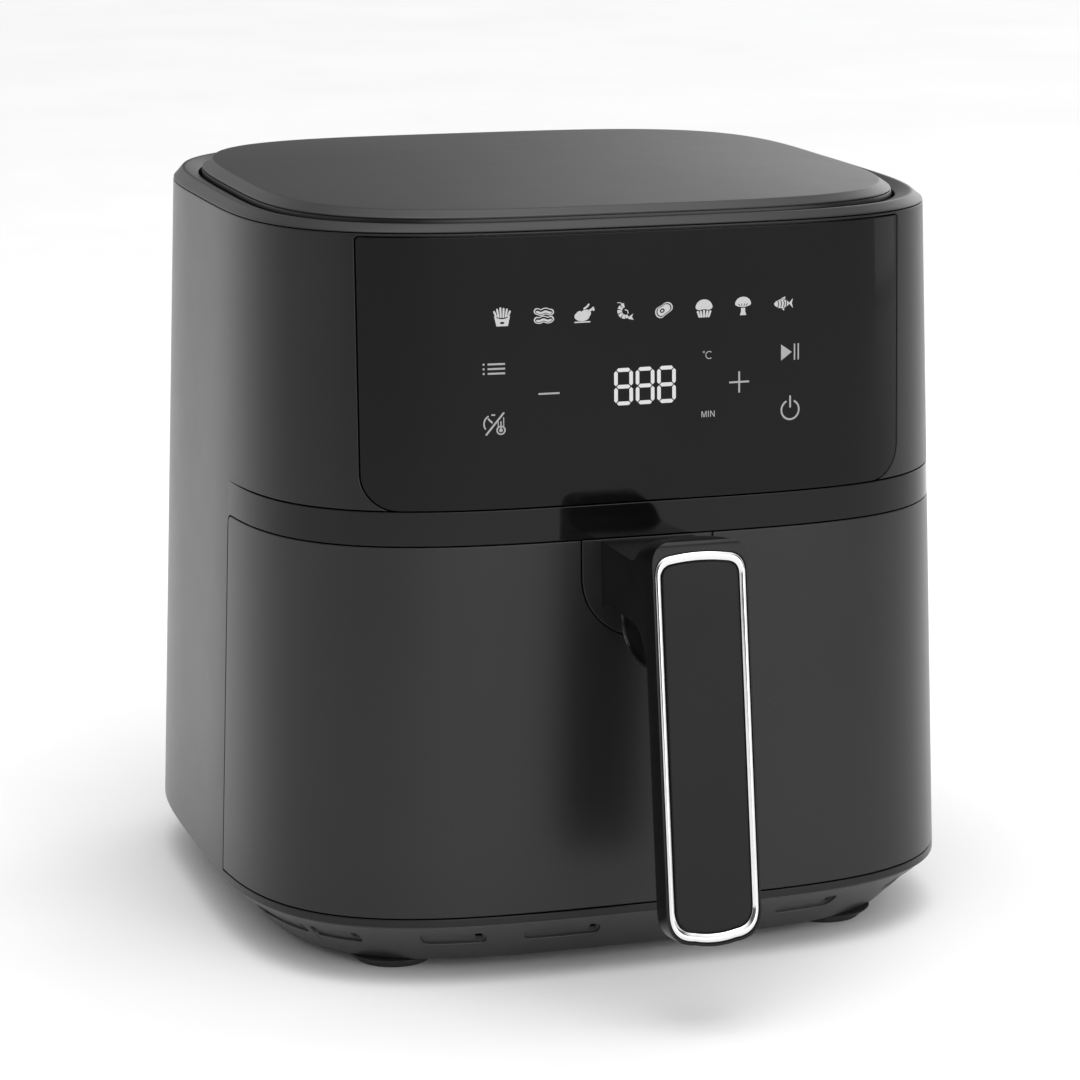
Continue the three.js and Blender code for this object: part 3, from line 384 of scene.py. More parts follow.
class Plate:
    """A closed skin drawn flat in (place along the perimeter, depth, height)."""

    def __init__(self, thickness):
        self.thickness = thickness
        self.bm = bmesh.new()
        self.normal = self.bm.verts.layers.float_vector.new("flat_normal")
        self.facing = self.bm.faces.layers.int.new("facing")
        self.front, self.back, self.floors, self.middles = [], [], [], []

    def ring(self, points, depth, flat_normals):
        verts = []
        for (u, z), normal in zip(points, flat_normals):
            vert = self.bm.verts.new((u, depth, z))
            vert[self.normal] = normal
            verts.append(vert)
        return verts

    def edges(self, ring):
        return ring_edges(self.bm, ring)

    def boundary(self, outline, bevel, hole=False, pocket=None, notch=None):
        """An edge round the plate, or round a hole or a pocket in it. outline(m) gives the
        outline moved inwards by m. A pocket is that deep, with a through hole at its notch."""
        base = outline(0)
        if hole:
            self.middles.append(float(base[:, 0].min() + base[:, 0].max()) / 2)
        ahead, behind = np.roll(base, -1, 0), np.roll(base, 1, 0)
        tangent = ahead - behind
        tangent /= np.maximum(np.linalg.norm(tangent, axis=1, keepdims=True), 1e-9)
        sign = -1.0 if hole else 1.0
        side = np.stack([sign * tangent[:, 1], np.zeros(len(base)), -sign * tangent[:, 0]], 1)
        front = np.tile((0.0, -1.0, 0.0), (len(base), 1))
        rings = []
        for share in (0.0, 0.12, 0.35, 0.65, 1.0):
            turn = share * math.pi / 2
            move, depth = bevel * (1 - math.cos(turn)), bevel * (1 - math.sin(turn))
            rings.append(
                self.ring(outline(-move if hole else move), depth,
                          math.cos(turn) * side + math.sin(turn) * front)
            )
        strips(self.bm, rings)
        deep = pocket or self.thickness
        last = self.ring(base, deep, side)
        strip(self.bm, last, rings[0])
        self.front += self.edges(rings[-1])
        if pocket:
            inner = np.array(notch)
            ways = np.zeros((len(inner), 3))
            ways[:, 1] = -1
            top, bottom = self.ring(inner, deep, ways), self.ring(inner, self.thickness, ways)
            strip(self.bm, bottom, top)
            self.floors.append(self.edges(last) + self.edges(top))
            self.back += self.edges(bottom)
        else:
            self.back += self.edges(last)

    def fill(self):
        jobs = [(self.front, FRONT_FACE), (self.back, BACK_FACE)]
        for edges, facing in jobs + [(floor, FRONT_FACE) for floor in self.floors]:
            before = set(self.bm.faces)
            fill_edges(self.bm, edges, (0, facing, 0), beauty=False)
            for face in set(self.bm.faces) - before:
                face[self.facing] = facing

    def cut(self, stops):
        """Cuts the flat plate across at each place along the perimeter."""
        for stop in stops:
            geometry = self.bm.verts[:] + self.bm.edges[:] + self.bm.faces[:]
            bmesh.ops.bisect_plane(
                self.bm, geom=geometry, dist=1e-5, plane_co=(stop, 0, 0), plane_no=(1, 0, 0)
            )

    def merge(self):
        """Joins the triangles of each column of a face into one polygon."""
        inside = []
        for edge in self.bm.edges:
            ways = {face[self.facing] for face in edge.link_faces}
            slanted = abs(edge.verts[0].co.x - edge.verts[1].co.x) > 1e-4
            if len(edge.link_faces) == 2 and len(ways) == 1 and EDGE_FACE not in ways and slanted:
                inside.append(edge)
        bmesh.ops.dissolve_edges(self.bm, edges=inside, use_verts=False, use_face_split=False)

    def finish(self, name, inset=None):
        """Cuts the plate into columns, bends it and gives it the surface's own normals."""
        bm = self.bm
        self.fill()
        bm.verts.ensure_lookup_table()
        place = np.array([v.co.x for v in bm.verts])
        u, stops = place.min(), []
        while u < place.max():
            out = on_body(u, DATUM_HEIGHT)[2]
            out_ahead = on_body(min(u + LOOK_AHEAD, HALF_LOOP), DATUM_HEIGHT)[2]
            bend = np.arccos(np.clip(out @ out_ahead, -1, 1)) / LOOK_AHEAD
            u += float(np.clip(COLUMN_TURN / max(bend, 1e-5), CORNER_STEP, FLAT_STEP))
            stops.append(u)
        self.cut([*self.middles, *stops[10:-1:20]])
        self.merge()
        self.cut(stops[:-1])
        bmesh.ops.recalc_face_normals(bm, faces=bm.faces)
        flat = np.array([v.co for v in bm.verts], float)
        normals = np.array([v[self.normal] for v in bm.verts], float)
        normals /= np.maximum(np.linalg.norm(normals, axis=1, keepdims=True), 1e-9)
        facing = [f[self.facing] for f in bm.faces]
        points, along, out, up = on_body(flat[:, 0], flat[:, 2], flat[:, 1], inset)
        for vert, point in zip(bm.verts, to_row(points)):
            vert.co = point
        mesh = mesh_of(bm, name)
        soft = normals[:, :1] * along - normals[:, 1:2] * out + normals[:, 2:] * up
        loops = []
        for face, way in zip(mesh.polygons, facing):
            for index in face.vertices:
                normal = soft[index] if way == EDGE_FACE else -way * out[index]
                loops.append(tuple(normal))
        mesh.polygons.foreach_set("use_smooth", [True] * len(mesh.polygons))
        mesh.normals_split_custom_set(loops)
        return mesh


# ---- Materials -----------------------------------------------------------------------------


class Tree:
    """Short names for building a node tree."""

    def __init__(self, owner):
        owner.use_nodes = True
        self.tree = owner.node_tree

    def add(self, kind, **settings):
        node = self.tree.nodes.new(kind)
        for key, value in settings.items():
            setattr(node, key, value)
        return node

    def link(self, out, into):
        self.tree.links.new(out, into)

    def ramp(self, value, low, high, to_low=0.0, to_high=1.0, **settings):
        node = self.add("ShaderNodeMapRange", **settings)
        for name, number in (
            ("From Min", low), ("From Max", high), ("To Min", to_low), ("To Max", to_high)
        ):
            node.inputs[name].default_value = number
        self.link(value, node.inputs["Value"])
        return node.outputs["Result"]


class Nodes(Tree):
    """A material's node tree, with the textures that the materials share."""

    def __init__(self, name):
        self.material = bpy.data.materials.new(name)
        super().__init__(self.material)
        self.shader = self.tree.nodes["Principled BSDF"]
        self.place = self.add("ShaderNodeTexCoord").outputs["Object"]

    def stretched(self, scale):
        node = self.add("ShaderNodeMapping")
        node.inputs["Scale"].default_value = scale
        self.link(self.place, node.inputs["Vector"])
        return node.outputs["Vector"]

    def noise(self, scale, detail, stretch=None):
        node = self.add("ShaderNodeTexNoise")
        node.inputs["Scale"].default_value = scale
        node.inputs["Detail"].default_value = detail
        self.link(self.stretched(stretch) if stretch else self.place, node.inputs["Vector"])
        return node.outputs["Fac"]

    def speckle(self, scale, share):
        """A value that is 1 in small spots and 0 elsewhere."""
        node = self.add("ShaderNodeTexVoronoi")
        node.inputs["Scale"].default_value = scale
        self.link(self.place, node.inputs["Vector"])
        return self.ramp(node.outputs["Distance"], share, share * 0.6)

    def mix(self, share, low, high):
        node = self.add("ShaderNodeMix", data_type="RGBA")
        self.link(share, node.inputs["Factor"])
        node.inputs["A"].default_value = (*low, 1)
        node.inputs["B"].default_value = (*high, 1)
        return node.outputs["Result"]

    def uneven(self, scale, detail, low=0.0, high=1.0, stretch=None, fade=0.3):
        """A noise spread from low to high. A larger fade makes crisper patches."""
        return self.ramp(self.noise(scale, detail, stretch), fade, 1 - fade, low, high)

    def bump(self, height, strength, distance):
        node = self.add("ShaderNodeBump")
        node.inputs["Strength"].default_value = strength
        node.inputs["Distance"].default_value = distance
        self.link(height, node.inputs["Height"])
        return node.outputs["Normal"]

    def set(self, **values):
        for name, value in values.items():
            self.shader.inputs[name.replace("_", " ")].default_value = value

    def into(self, **sources):
        for name, source in sources.items():
            self.link(source, self.shader.inputs[name.replace("_", " ")])


def plain(name, tones, rough, relief, fade=0.3, **settings):
    """A material whose tone, gloss and relief each vary by a noise of their own. The rows are
    (scale, detail, dark, light), (scale, detail, low, high) and (scale, detail, strength,
    distance)."""
    n = Nodes(name)
    n.set(**settings)
    scale, detail, dark, light = tones
    n.into(
        Base_Color=n.mix(n.uneven(scale, detail, fade=fade), dark, light),
        Roughness=n.uneven(*rough, fade=fade),
        Normal=n.bump(n.noise(*relief[:2]), *relief[2:]),
    )
    return n.material


def moulded(name, dark, light, rough, grain, grain_scale=900, specular=0.5):
    """Moulded plastic: a fine spark-eroded grain, slow tone changes, a little uneven gloss."""
    return plain(name, (14, 2, dark, light), (55, 2, *rough), (grain_scale, 3, grain, 0.0002),
                 0.15, Specular_IOR_Level=specular)


def gloss_black(name, base, rough, specular):
    """High-gloss black: almost no texture, with faint polishing marks in the gloss."""
    n = Nodes(name)
    n.set(Specular_IOR_Level=specular)
    n.into(
        Base_Color=n.mix(n.uneven(10, 2, fade=0.4), base, [c * 1.25 for c in base]),
        Roughness=n.uneven(90, 5, *rough, (1, 1, 0.15)),
        Normal=n.bump(n.noise(60, 1), 0.02, 0.0002),
    )
    return n.material


def sheet_steel(name, dark, light, rough):
    """Rolled sheet: brushed lines in the gloss and a mottled tone."""
    n = Nodes(name)
    n.set(Metallic=1.0)
    lines = n.noise(120, 5, (1, 1, 14))
    n.into(
        Base_Color=n.mix(n.uneven(22, 4), dark, light),
        Roughness=n.ramp(lines, 0.3, 0.7, *rough),
        Normal=n.bump(lines, 0.08, 0.0001),
    )
    return n.material


def non_stick():
    """A dark sprayed coating with tiny lighter flakes and a slight orange peel."""
    n = Nodes("non_stick")
    n.into(
        Base_Color=n.mix(n.speckle(1100, 0.16), (0.02, 0.02, 0.021), (0.13, 0.13, 0.135)),
        Roughness=n.uneven(300, 4, 0.32, 0.45),
        Normal=n.bump(n.noise(420, 3), 0.18, 0.0003),
    )
    return n.material


def rubber(name, tone):
    return plain(name, (60, 4, [tone] * 3, [tone * 1.7] * 3), (200, 3, 0.68, 0.85),
                 (700, 4, 0.25, 0.0002))


def circuit_board():
    """Green lacquer with copper tracks under it and solder dots."""
    n = Nodes("circuit_board")
    tracks = n.add("ShaderNodeTexBrick", offset=0.37, squash=1.6)
    tracks.inputs["Scale"].default_value = 90
    tracks.inputs["Mortar Size"].default_value = 0.035
    n.link(n.place, tracks.inputs["Vector"])
    solder = n.speckle(320, 0.12)
    base = n.mix(tracks.outputs["Fac"], (0.012, 0.085, 0.035), (0.03, 0.16, 0.06))
    top = n.add("ShaderNodeMix", data_type="RGBA")
    n.link(solder, top.inputs["Factor"])
    n.link(base, top.inputs["A"])
    top.inputs["B"].default_value = (0.5, 0.5, 0.48, 1)
    n.into(
        Base_Color=top.outputs["Result"],
        Roughness=n.uneven(80, 3, 0.3, 0.5),
        Normal=n.bump(solder, 0.4, 0.0004),
    )
    return n.material


def wound_copper():
    """Enamelled wire laid in close turns."""
    n = Nodes("wound_copper")
    turns = n.add("ShaderNodeTexWave", bands_direction="X")
    turns.inputs["Scale"].default_value = 420
    turns.inputs["Distortion"].default_value = 0.4
    n.link(n.place, turns.inputs["Vector"])
    n.set(Metallic=0.85)
    n.into(
        Base_Color=n.mix(turns.outputs["Fac"], (0.28, 0.09, 0.03), (0.68, 0.28, 0.12)),
        Roughness=n.uneven(100, 3, 0.25, 0.4),
        Normal=n.bump(turns.outputs["Fac"], 0.6, 0.0005),
    )
    return n.material


def legend(name, glow):
    """A translucent grey printed mark with a lamp behind it."""
    n = Nodes(name)
    colour = n.mix(n.uneven(700, 2), [0.19] * 3, [0.20] * 3)
    n.set(Emission_Strength=glow, Specular_IOR_Level=0.2)
    n.into(
        Base_Color=colour,
        Emission_Color=colour,
        Roughness=n.uneven(500, 2, 0.3, 0.4),
        Normal=n.bump(n.noise(900, 2), 0.05, 0.0001),
    )
    return n.material


def greys(low, high):
    return (low, low, low * 1.03), (high, high, high * 1.03)


SATIN = moulded("satin_shell", *greys(0.006, 0.009), (0.27, 0.30), 0.04, specular=0.28)
SATIN_DRAWER = moulded("satin_drawer", *greys(0.009, 0.012), (0.27, 0.30), 0.04, specular=0.34)
COVER = moulded("satin_cover", *greys(0.008, 0.011), (0.30, 0.32), 0.04, specular=0.36)
# The base is the shell's black moulding, but its grey is set several times lighter: painted light
# that lifts its downward-facing sides out of the floor's contact shadow.
BASE_PAINTED_LIGHT = moulded("satin_base_painted_light", *greys(0.024, 0.029), (0.30, 0.38), 0.08, specular=0.5)
HANDLE = moulded("satin_handle", *greys(0.004, 0.006), (0.22, 0.26), 0.05, specular=0.2)
INSERT = moulded("satin_insert", *greys(0.008, 0.010), (0.34, 0.40), 0.05, specular=0.14)
MATTE = moulded("matte_moulding", *greys(0.010, 0.015), (0.5, 0.62), 0.2, 600)
# A near-black copy of the guard's moulding for its recessed side faces: painted shade in the
# recess.
RECESS_PAINTED_SHADE = moulded("satin_recess_painted_shade", *greys(0.003, 0.004), (0.36, 0.42), 0.05, specular=0.1)
GUARD = moulded("satin_guard", *greys(0.010, 0.013), (0.24, 0.30), 0.05, specular=0.6)
BAND = gloss_black("gloss_band", (0.003, 0.003, 0.0031), (0.055, 0.08), 0.25)
PANEL = gloss_black("gloss_panel", (0.0022, 0.0022, 0.0023), (0.05, 0.075), 0.19)
CHROME = plain(
    "chrome_plate", (30, 2, (0.74, 0.74, 0.75), (0.82, 0.82, 0.83)), (400, 4, 0.05, 0.13),
    (250, 2, 0.03, 0.0001), Metallic=1.0
)
STEEL = sheet_steel("sheet_steel", (0.42, 0.42, 0.41), (0.55, 0.55, 0.54), (0.28, 0.42))
DARK_STEEL = sheet_steel(
    "heat_stained_steel", (0.09, 0.08, 0.075), (0.2, 0.17, 0.15), (0.35, 0.55)
)
NON_STICK = non_stick()
RUBBER = rubber("foot_rubber", 0.009)
SILICONE = rubber("clip_silicone", 0.018)
BOARD = circuit_board()
COPPER = wound_copper()
PART_BLACK = moulded(
    "component_black", (0.008, 0.008, 0.009), (0.014, 0.014, 0.015), (0.4, 0.55), 0.15, 500
)
PART_WHITE = moulded(
    "component_white", (0.5, 0.48, 0.43), (0.62, 0.60, 0.55), (0.4, 0.5), 0.08, 500
)
LIT_DIGITS = legend("lit_digits", 2.5)
LIT_ICONS = legend("lit_icons", 1.75)
LIT_KEYS = legend("lit_keys", 0.8)

FINISH = {
    "satin_black": SATIN,
    "gloss_black": PANEL,
    "moulded_black": MATTE,
    "rubber_black": RUBBER,
    "chrome_trim": CHROME,
    "silicone_black": SILICONE,
    "non_stick": NON_STICK,
    "sheet_steel": STEEL,
    "dark_steel": DARK_STEEL,
    "copper_winding": COPPER,
    "circuit_board": BOARD,
    "component_black": PART_BLACK,
    "component_white": PART_WHITE,
}

SLOT_OF = {part["node"]: part["material_slot"] for part in frame["record"]["subparts"]}
for node_name, node in frame["nodes"].items():
    node.data.materials.clear()
    node.data.materials.append(FINISH[SLOT_OF[node_name]])


# ---- Housing skins -------------------------------------------------------------------------

HALF_SEAM = SEAM / 2
EDGE = 0.4  # bevels of the skins' edges
FINE_EDGE = 0.3
SHARP_EDGE = 0.01
BAND_FADE = 26.0
BAND_END = float(u_at_y(DRAWER_SIDE_SEAM, BAND_TOP, 1))


def mirrored(half):
    """A half outline on the right, from the bottom up, closed by its mirror image."""
    return half + [(-u, z) for u, z in half[::-1]]


def arc(centre, radius, start, end, steps):
    """Points of an arc, without its first. Angles in degrees from the first axis."""
    turns = np.radians(np.linspace(start, end, steps + 1)[1:])
    return [(centre[0] + radius * math.cos(t), centre[1] + radius * math.sin(t)) for t in turns]


def side_points(pairs):
    """(y, z) pairs on the right side, as (place, height)."""
    return [(float(u_at_y(y, z, 1)), float(z)) for y, z in pairs]


def front_points(pairs):
    """(x, z) pairs on the front, as (place, height)."""
    return [(float(u_at_x(x, z)), float(z)) for x, z in pairs]


def fade(u):
    """0 at the band's rear end, 1 from BAND_FADE on."""
    return float(np.clip((BAND_END - abs(u)) / BAND_FADE, 0, 1)) ** 0.7


def line(u0, z0, u1, z1, steps):
    share = np.linspace(0, 1, steps + 1)
    return [(u0 + (u1 - u0) * k, z0 + (z1 - z0) * k) for k in share]


def shell_hole(margin):
    """The opening for the drawer front, the band and the panel, as one outline. Round the
    band's rear end it keeps still, so that no line shows there."""
    half = HALF_SEAM - margin
    low = DRAWER_BOTTOM - half
    side = side_points([(DRAWER_SIDE_SEAM + half, z) for z in (low, 60, 100, 140, 168)])
    end = [(BAND_END, 170.4), (BAND_END, 178), (BAND_END, BAND_TOP)]
    centre = (PANEL_HALF_WIDTH - PANEL_LOW_CORNER, BAND_TOP + PANEL_LOW_CORNER)
    radius = PANEL_LOW_CORNER + half
    tip = math.degrees(math.asin((PANEL_LOW_CORNER - half) / radius))
    corner = front_points(arc(centre, radius, -tip - 1e-3, 0, 12))
    tip_place = front_points(arc(centre, radius, -tip, -tip, 1))[0]
    seam = [
        (u, BAND_TOP + half * fade(u))
        for u in np.linspace(BAND_END, tip_place[0], 70)[1:]
    ]
    edge = PANEL_HALF_WIDTH + half
    top = PANEL_TOP + half
    high = PANEL_HIGH_CORNER + half
    wall = front_points([(edge, z) for z in np.linspace(centre[1], top - high, 8)[1:]])
    bend = front_points(arc((edge - high, top - high), high, 0, 90, 5))
    roof = front_points([(x, top) for x in np.linspace(edge - high, 0, 40)[1:-1]])
    floor = [(u, low) for u in np.linspace(0, side[0][0], 40)[1:-1]]
    return np.array(mirrored(floor + side + end + seam + corner + wall + bend + roof))


def band_outline(margin):
    """The band's edge, round the drawer's high corners too. Its rear ends meet the shell
    without a gap."""
    half = HALF_SEAM + margin
    centre = (DRAWER_SIDE_SEAM - DRAWER_CORNER, DRAWER_TOP - DRAWER_CORNER)
    radius = DRAWER_CORNER + half
    stop = 90 - math.degrees(math.asin(DRAWER_CORNER / radius))
    bend = side_points(arc(centre, radius, 90, stop, 8))
    bend[-1] = (BAND_END, bend[-1][1])
    start = side_points([(centre[0], DRAWER_TOP + half)])[0]
    low = [(u, DRAWER_TOP + half) for u in np.linspace(0, start[0], 80)[1:]]
    end = line(*bend[-1], BAND_END, BAND_TOP, 4)[1:]
    seam = [(u, BAND_TOP - half * fade(u)) for u in np.linspace(BAND_END, 0, 80)[1:-1]]
    return np.array(mirrored(low + bend + end + seam))


def panel_outline(margin):
    inset = HALF_SEAM + margin
    half = PANEL_HALF_WIDTH - inset
    low, high = PANEL_LOW_CORNER - inset, PANEL_HIGH_CORNER - inset
    flat = rounded_rectangle(
        -half, BAND_TOP + inset, half, PANEL_TOP - inset, (low, low, high, high), 14, 8
    )
    return np.array(front_points(flat))


def drawer_front_outline(margin):
    """The drawer front's edge, with the notch for the handle's plate cut down from its top."""
    inset = HALF_SEAM + margin
    low, top = DRAWER_BOTTOM + inset, DRAWER_TOP - inset
    corner = DRAWER_CORNER - inset
    rear = DRAWER_SIDE_SEAM - inset
    side = side_points([(rear, z) for z in np.linspace(low, top - corner, 8)])
    bend = side_points(arc((rear - corner, top - corner), corner, 0, 90, 8))
    half, round_low, notch_low = (
        PLATE_HALF_WIDTH + inset, PLATE_CORNER + inset, PLATE_BOTTOM - inset
    )
    seam = front_points([(half, top)])[0]
    roof = line(*bend[-1], *seam, 60)[1:]
    wall = front_points([(half, z) for z in np.linspace(top, notch_low + round_low, 6)[1:]])
    foot = arc((half - round_low, notch_low + round_low), round_low, 0, -90, 24)
    under = front_points([(x, notch_low) for x in np.linspace(half - round_low, 0, 3)[1:-1]])
    floor = [(u, low) for u in np.linspace(0, side[0][0], 50)[1:-1]]
    return np.array(mirrored(floor + side + bend + roof + wall + front_points(foot) + under))


def handle_plate_outline(margin):
    """The handle's U-shaped mounting plate."""
    inset = HALF_SEAM + margin
    half, corner = PLATE_HALF_WIDTH - inset, PLATE_CORNER - inset
    flat = rounded_rectangle(
        -half, PLATE_BOTTOM + inset, half, DRAWER_TOP - inset, (corner, corner, 0, 0), 24, 6
    )
    return np.array(front_points(flat))


def full_loop(low, high):
    """An outline round the whole housing, for Plate.boundary."""
    end = HALF_LOOP - 1e-3

    def rim(margin):
        bottom = [(u, low + margin) for u in np.linspace(-end, end, 240)]
        return np.array(bottom + [(u, high - margin) for u, _ in bottom[::-1]])

    return rim


def outlet_outline(side):
    """Half of the hole behind the rear grille, which spans the place where the loop closes."""
    flat = rounded_rectangle(HALF_LOOP - OUTLET_HALF_WIDTH, OUTLET_LOW, HALF_LOOP - 0.4,
                             OUTLET_HIGH, (3, 0, 0, 3), 4)
    if side < 0:
        flat = np.stack([-flat[::-1, 0], flat[::-1, 1]], 1)
    return lambda margin: flat


def gland_outline(margin):
    return np.stack(circle(HALF_LOOP - GLAND_X, GLAND_HEIGHT, GLAND_HOLE, 32), 1)


def make_shell():
    plate = Plate(WALL)
    plate.boundary(full_loop(SHELL_BOTTOM, SHELL_TOP), 0.5)
    plate.boundary(shell_hole, EDGE, hole=True)
    for outline in (outlet_outline(1), outlet_outline(-1), gland_outline):
        plate.boundary(outline, SHARP_EDGE, hole=True)
    return plate.finish("outer_shell_skin")


# ---- Base ----------------------------------------------------------------------------------


def base_inset(z):
    """How far the tapered base stands in from the wall's plan, against height."""
    return np.interp(z, BASE_Z, BASE_INSETS)


BASE_Z = np.linspace(BASE_BOTTOM, SHELL_BOTTOM - GAP, 80)
BASE_INSETS = np.polyval(
    np.polyfit((BASE_BOTTOM, SLOT_HEIGHT, SHELL_BOTTOM - GAP), (19.0, 8.0, 0.8), 2), BASE_Z
)
SLOT_DEPTH = 0.9
BASE_SKIN = 2.4


def slot_places():
    """The middle and half length of each air slot, along the perimeter."""
    inset = float(base_inset(SLOT_HEIGHT))
    spans = [
        (float(u_at_x(x0, SLOT_HEIGHT, inset)), float(u_at_x(x1, SLOT_HEIGHT, inset)))
        for x0, x1 in FRONT_SLOTS
    ]
    for y0, y1 in SIDE_SLOTS:
        for side in (-1, 1):
            ends = [float(u_at_y(y, SLOT_HEIGHT, side, inset)) for y in (y0, y1)]
            spans.append((min(ends), max(ends)))
    for x, y in SLOT_CORNERS:
        u = np.linspace(-HALF_LOOP, HALF_LOOP, 4000)
        plan = on_body(u, SLOT_HEIGHT, 0.0, base_inset)[0]
        near = u[np.argmin(np.hypot(plan[:, 0] - x, plan[:, 1] - y))]
        spans.append((near - CORNER_SLOT / 2, near + CORNER_SLOT / 2))
    return spans


def slot_outline(start, end):
    radius = SLOT_TALL / 2

    def outline(margin):
        r = radius - margin
        return rounded_rectangle(
            start + margin, SLOT_HEIGHT - r, end - margin, SLOT_HEIGHT + r, (r - 0.6,) * 4, 8
        )

    return outline


def make_base():
    plate = Plate(BASE_SKIN)
    plate.boundary(full_loop(BASE_BOTTOM + 0.05, SHELL_BOTTOM - GAP), 0.5)
    for start, end in slot_places():
        notch = rounded_rectangle(
            end - 4.2, SLOT_HEIGHT - 1.7, end - 1.2, SLOT_HEIGHT + 1.7, (0.8,) * 4, 3
        )
        plate.boundary(slot_outline(start, end), FINE_EDGE, True, SLOT_DEPTH, notch)
    side = plate.finish("base_side", base_inset)
    loops = body_loops(above(BASE_BOTTOM, [
        (PLAN_RADIUS, 0), (60, 0), (19.6, 0), (19.2, 0.4), (19.2, BASE_SKIN),
        (PLAN_RADIUS, BASE_SKIN),
    ]))
    under = lofted("base_under", loops, caps=False)
    return side, under


# ---- Rim and cover -------------------------------------------------------------------------


def curve_profile(points, steps):
    """A smooth profile through the points (Catmull-Rom)."""
    points = [np.array(p, float) for p in points]
    padded = [2 * points[0] - points[1], *points, 2 * points[-1] - points[-2]]
    run = [points[0]]
    for a, b, c, d in zip(padded, padded[1:], padded[2:], padded[3:]):
        for i in range(1, steps + 1):
            t = i / steps
            run.append(
                0.5 * (2 * b + (c - a) * t + (2 * a - 5 * b + 4 * c - d) * t**2
                       + (3 * b - a - 3 * c + d) * t**3)
            )
    return [tuple(p) for p in run]


def climbing(loops, climb, low, high):
    """The loops with their upper part tilted, so that it climbs towards the back."""
    for loop in loops:
        share = np.clip((loop[:, 2] - low) / (high - low), 0, 1)
        loop[:, 2] += climb * share * loop[:, 1] / HALF_DEPTH
    return loops


def make_rim():
    foot, groove = SHELL_TOP + GAP, 10.7
    inside = WALL + GAP
    crest = above(RIM_CREST, [(3.3, -0.42), (3.75, -0.1), (4.4, 0), (5.1, -0.12), (6.0, -0.42)])
    profile = [
        *above(foot, [(0.3, -0.02), (0.12, 0.08), (0.1, 0.3), (0.22, 0.52), (1.2, 1.42)]),
        *curve_profile(crest, 3),
        *above(RIM_CREST, [(groove - 0.9, -1.72), (groove - 0.3, -2.0), (groove, -2.6)]),
        (groove, SHELL_TOP - 6), (inside, SHELL_TOP - 6), (inside, foot),
    ]
    loops = climbing(body_loops(profile), RIM_CLIMB, foot + 0.3, RIM_CREST)
    return lofted("top_rim_skin", loops, closed=True, degrees=34)


def make_cover():
    """The plate with its rounded shoulder, and under it a lip set off by a fine groove."""
    edge, skin, shoulder = 11.9, 2.5, 16.0
    skirt = SHELL_TOP - 5
    crown = COVER_TOP - SHOULDER_TOP - TILT_RELIEF
    dome = [
        (inset, SHOULDER_TOP + crown * (1 - ((PLAN_RADIUS - inset) / (PLAN_RADIUS - 17)) ** 2.4))
        for inset in np.linspace(PLAN_RADIUS, 17.2, 40)
    ]
    bend = [dome[-1], *above(SHOULDER_TOP, [(16.45, -0.1), (15.9, -0.45), (15.3, -0.95)])]
    foot = SHOULDER_FOOT
    side = above(foot, [
        (13.0, 0.66), (12.45, 0.2), (12.2, -0.08), (12.15, -0.28), (12.75, -0.36), (12.75, -0.74),
        (12.2, -0.82), (11.98, -0.92), (edge, -1.15), (edge, -2.6),
    ])
    side += [(edge, skirt), (edge + skin, skirt), (edge + skin + 0.6, foot - 2.3),
             (shoulder + 1.5, SHOULDER_TOP - skin), (PLAN_RADIUS, COVER_TOP - skin)]
    profile = dome + curve_profile(bend, 4)[1:] + side
    loops = climbing(body_loops(profile), SHOULDER_CLIMB, foot - 2.1, SHOULDER_TOP)
    return lofted("top_cover_skin", loops, caps=False, degrees=34)


# ---- Handle --------------------------------------------------------------------------------


def grip_front(z):
    return GRIP_FRONT_MIDDLE + GRIP_SLOPE * (z - GRIP_MIDDLE_HEIGHT)


def on_grip(x, height, proud):
    """A point given square to the grip's front, as (x, y, z)."""
    y = GRIP_FRONT_MIDDLE + height * math.sin(GRIP_LEAN) - proud * math.cos(GRIP_LEAN)
    z = GRIP_MIDDLE_HEIGHT + height * math.cos(GRIP_LEAN) + proud * math.sin(GRIP_LEAN)
    return (x, y, z)


def grip_outline(margin, top, bottom):
    """The grip seen square to its front, anticlockwise."""
    half = HANDLE_HALF_WIDTH - margin
    high_corner, low_corner = 7.5 - margin, 10.5 - margin
    top_sag, bottom_sag = 2.2, 2.9
    start = (-half, bottom + low_corner + bottom_sag)
    run = [start]
    for a, b in (
        ((-half, bottom + bottom_sag * 0.6), (-half + low_corner, bottom + bottom_sag * 0.4)),
        ((0, bottom - bottom_sag * 0.3), (half - low_corner, bottom + bottom_sag * 0.4)),
        ((half, bottom + bottom_sag * 0.6), (half, bottom + low_corner + bottom_sag)),
    ):
        curve_on(run, a, b, 14)
    high = top - high_corner - top_sag
    low = run[-1][1]
    run += [(half, low + (high - low) * k / 12) for k in range(1, 13)]
    for a, b in (
        ((half, top - top_sag * 0.8), (half - high_corner, top - top_sag * 0.5)),
        ((0, top + top_sag * 0.3), (-half + high_corner, top - top_sag * 0.5)),
        ((-half, top - top_sag * 0.8), (-half, high)),
    ):
        curve_on(run, a, b, 14)
    run += [(-half, high + (low - high) * k / 12) for k in range(1, 12)]
    return run


def grip_loop(margin, top, bottom, proud, widen=1.0):
    """The grip's outline as a loop that stands proud of its front."""
    return [on_grip(x * widen, h, proud) for x, h in grip_outline(margin, top, bottom)]


def make_ring():
    outer = SHELL_LIP + GAP
    back = -POCKET_DEPTH + GAP
    profile = [(0, back), (0, -0.3), (0.05, -0.12), (0.18, 0.02), (0.42, 0.16), (1.0, 0.4),
               (1.3, 0.47), (1.6, 0.45), (1.85, 0.36), (2.9, -0.22), (3.12, -0.38),
               (3.26, -0.6), (3.3, -0.9), (3.3, back)]
    loops = [
        grip_loop(outer + RING_SIDE_SHARE * m, RING_TOP - m, RING_BOTTOM + m, proud)
        for m, proud in profile
    ]
    return lofted("handle_ring_skin", loops, closed=True, degrees=50)


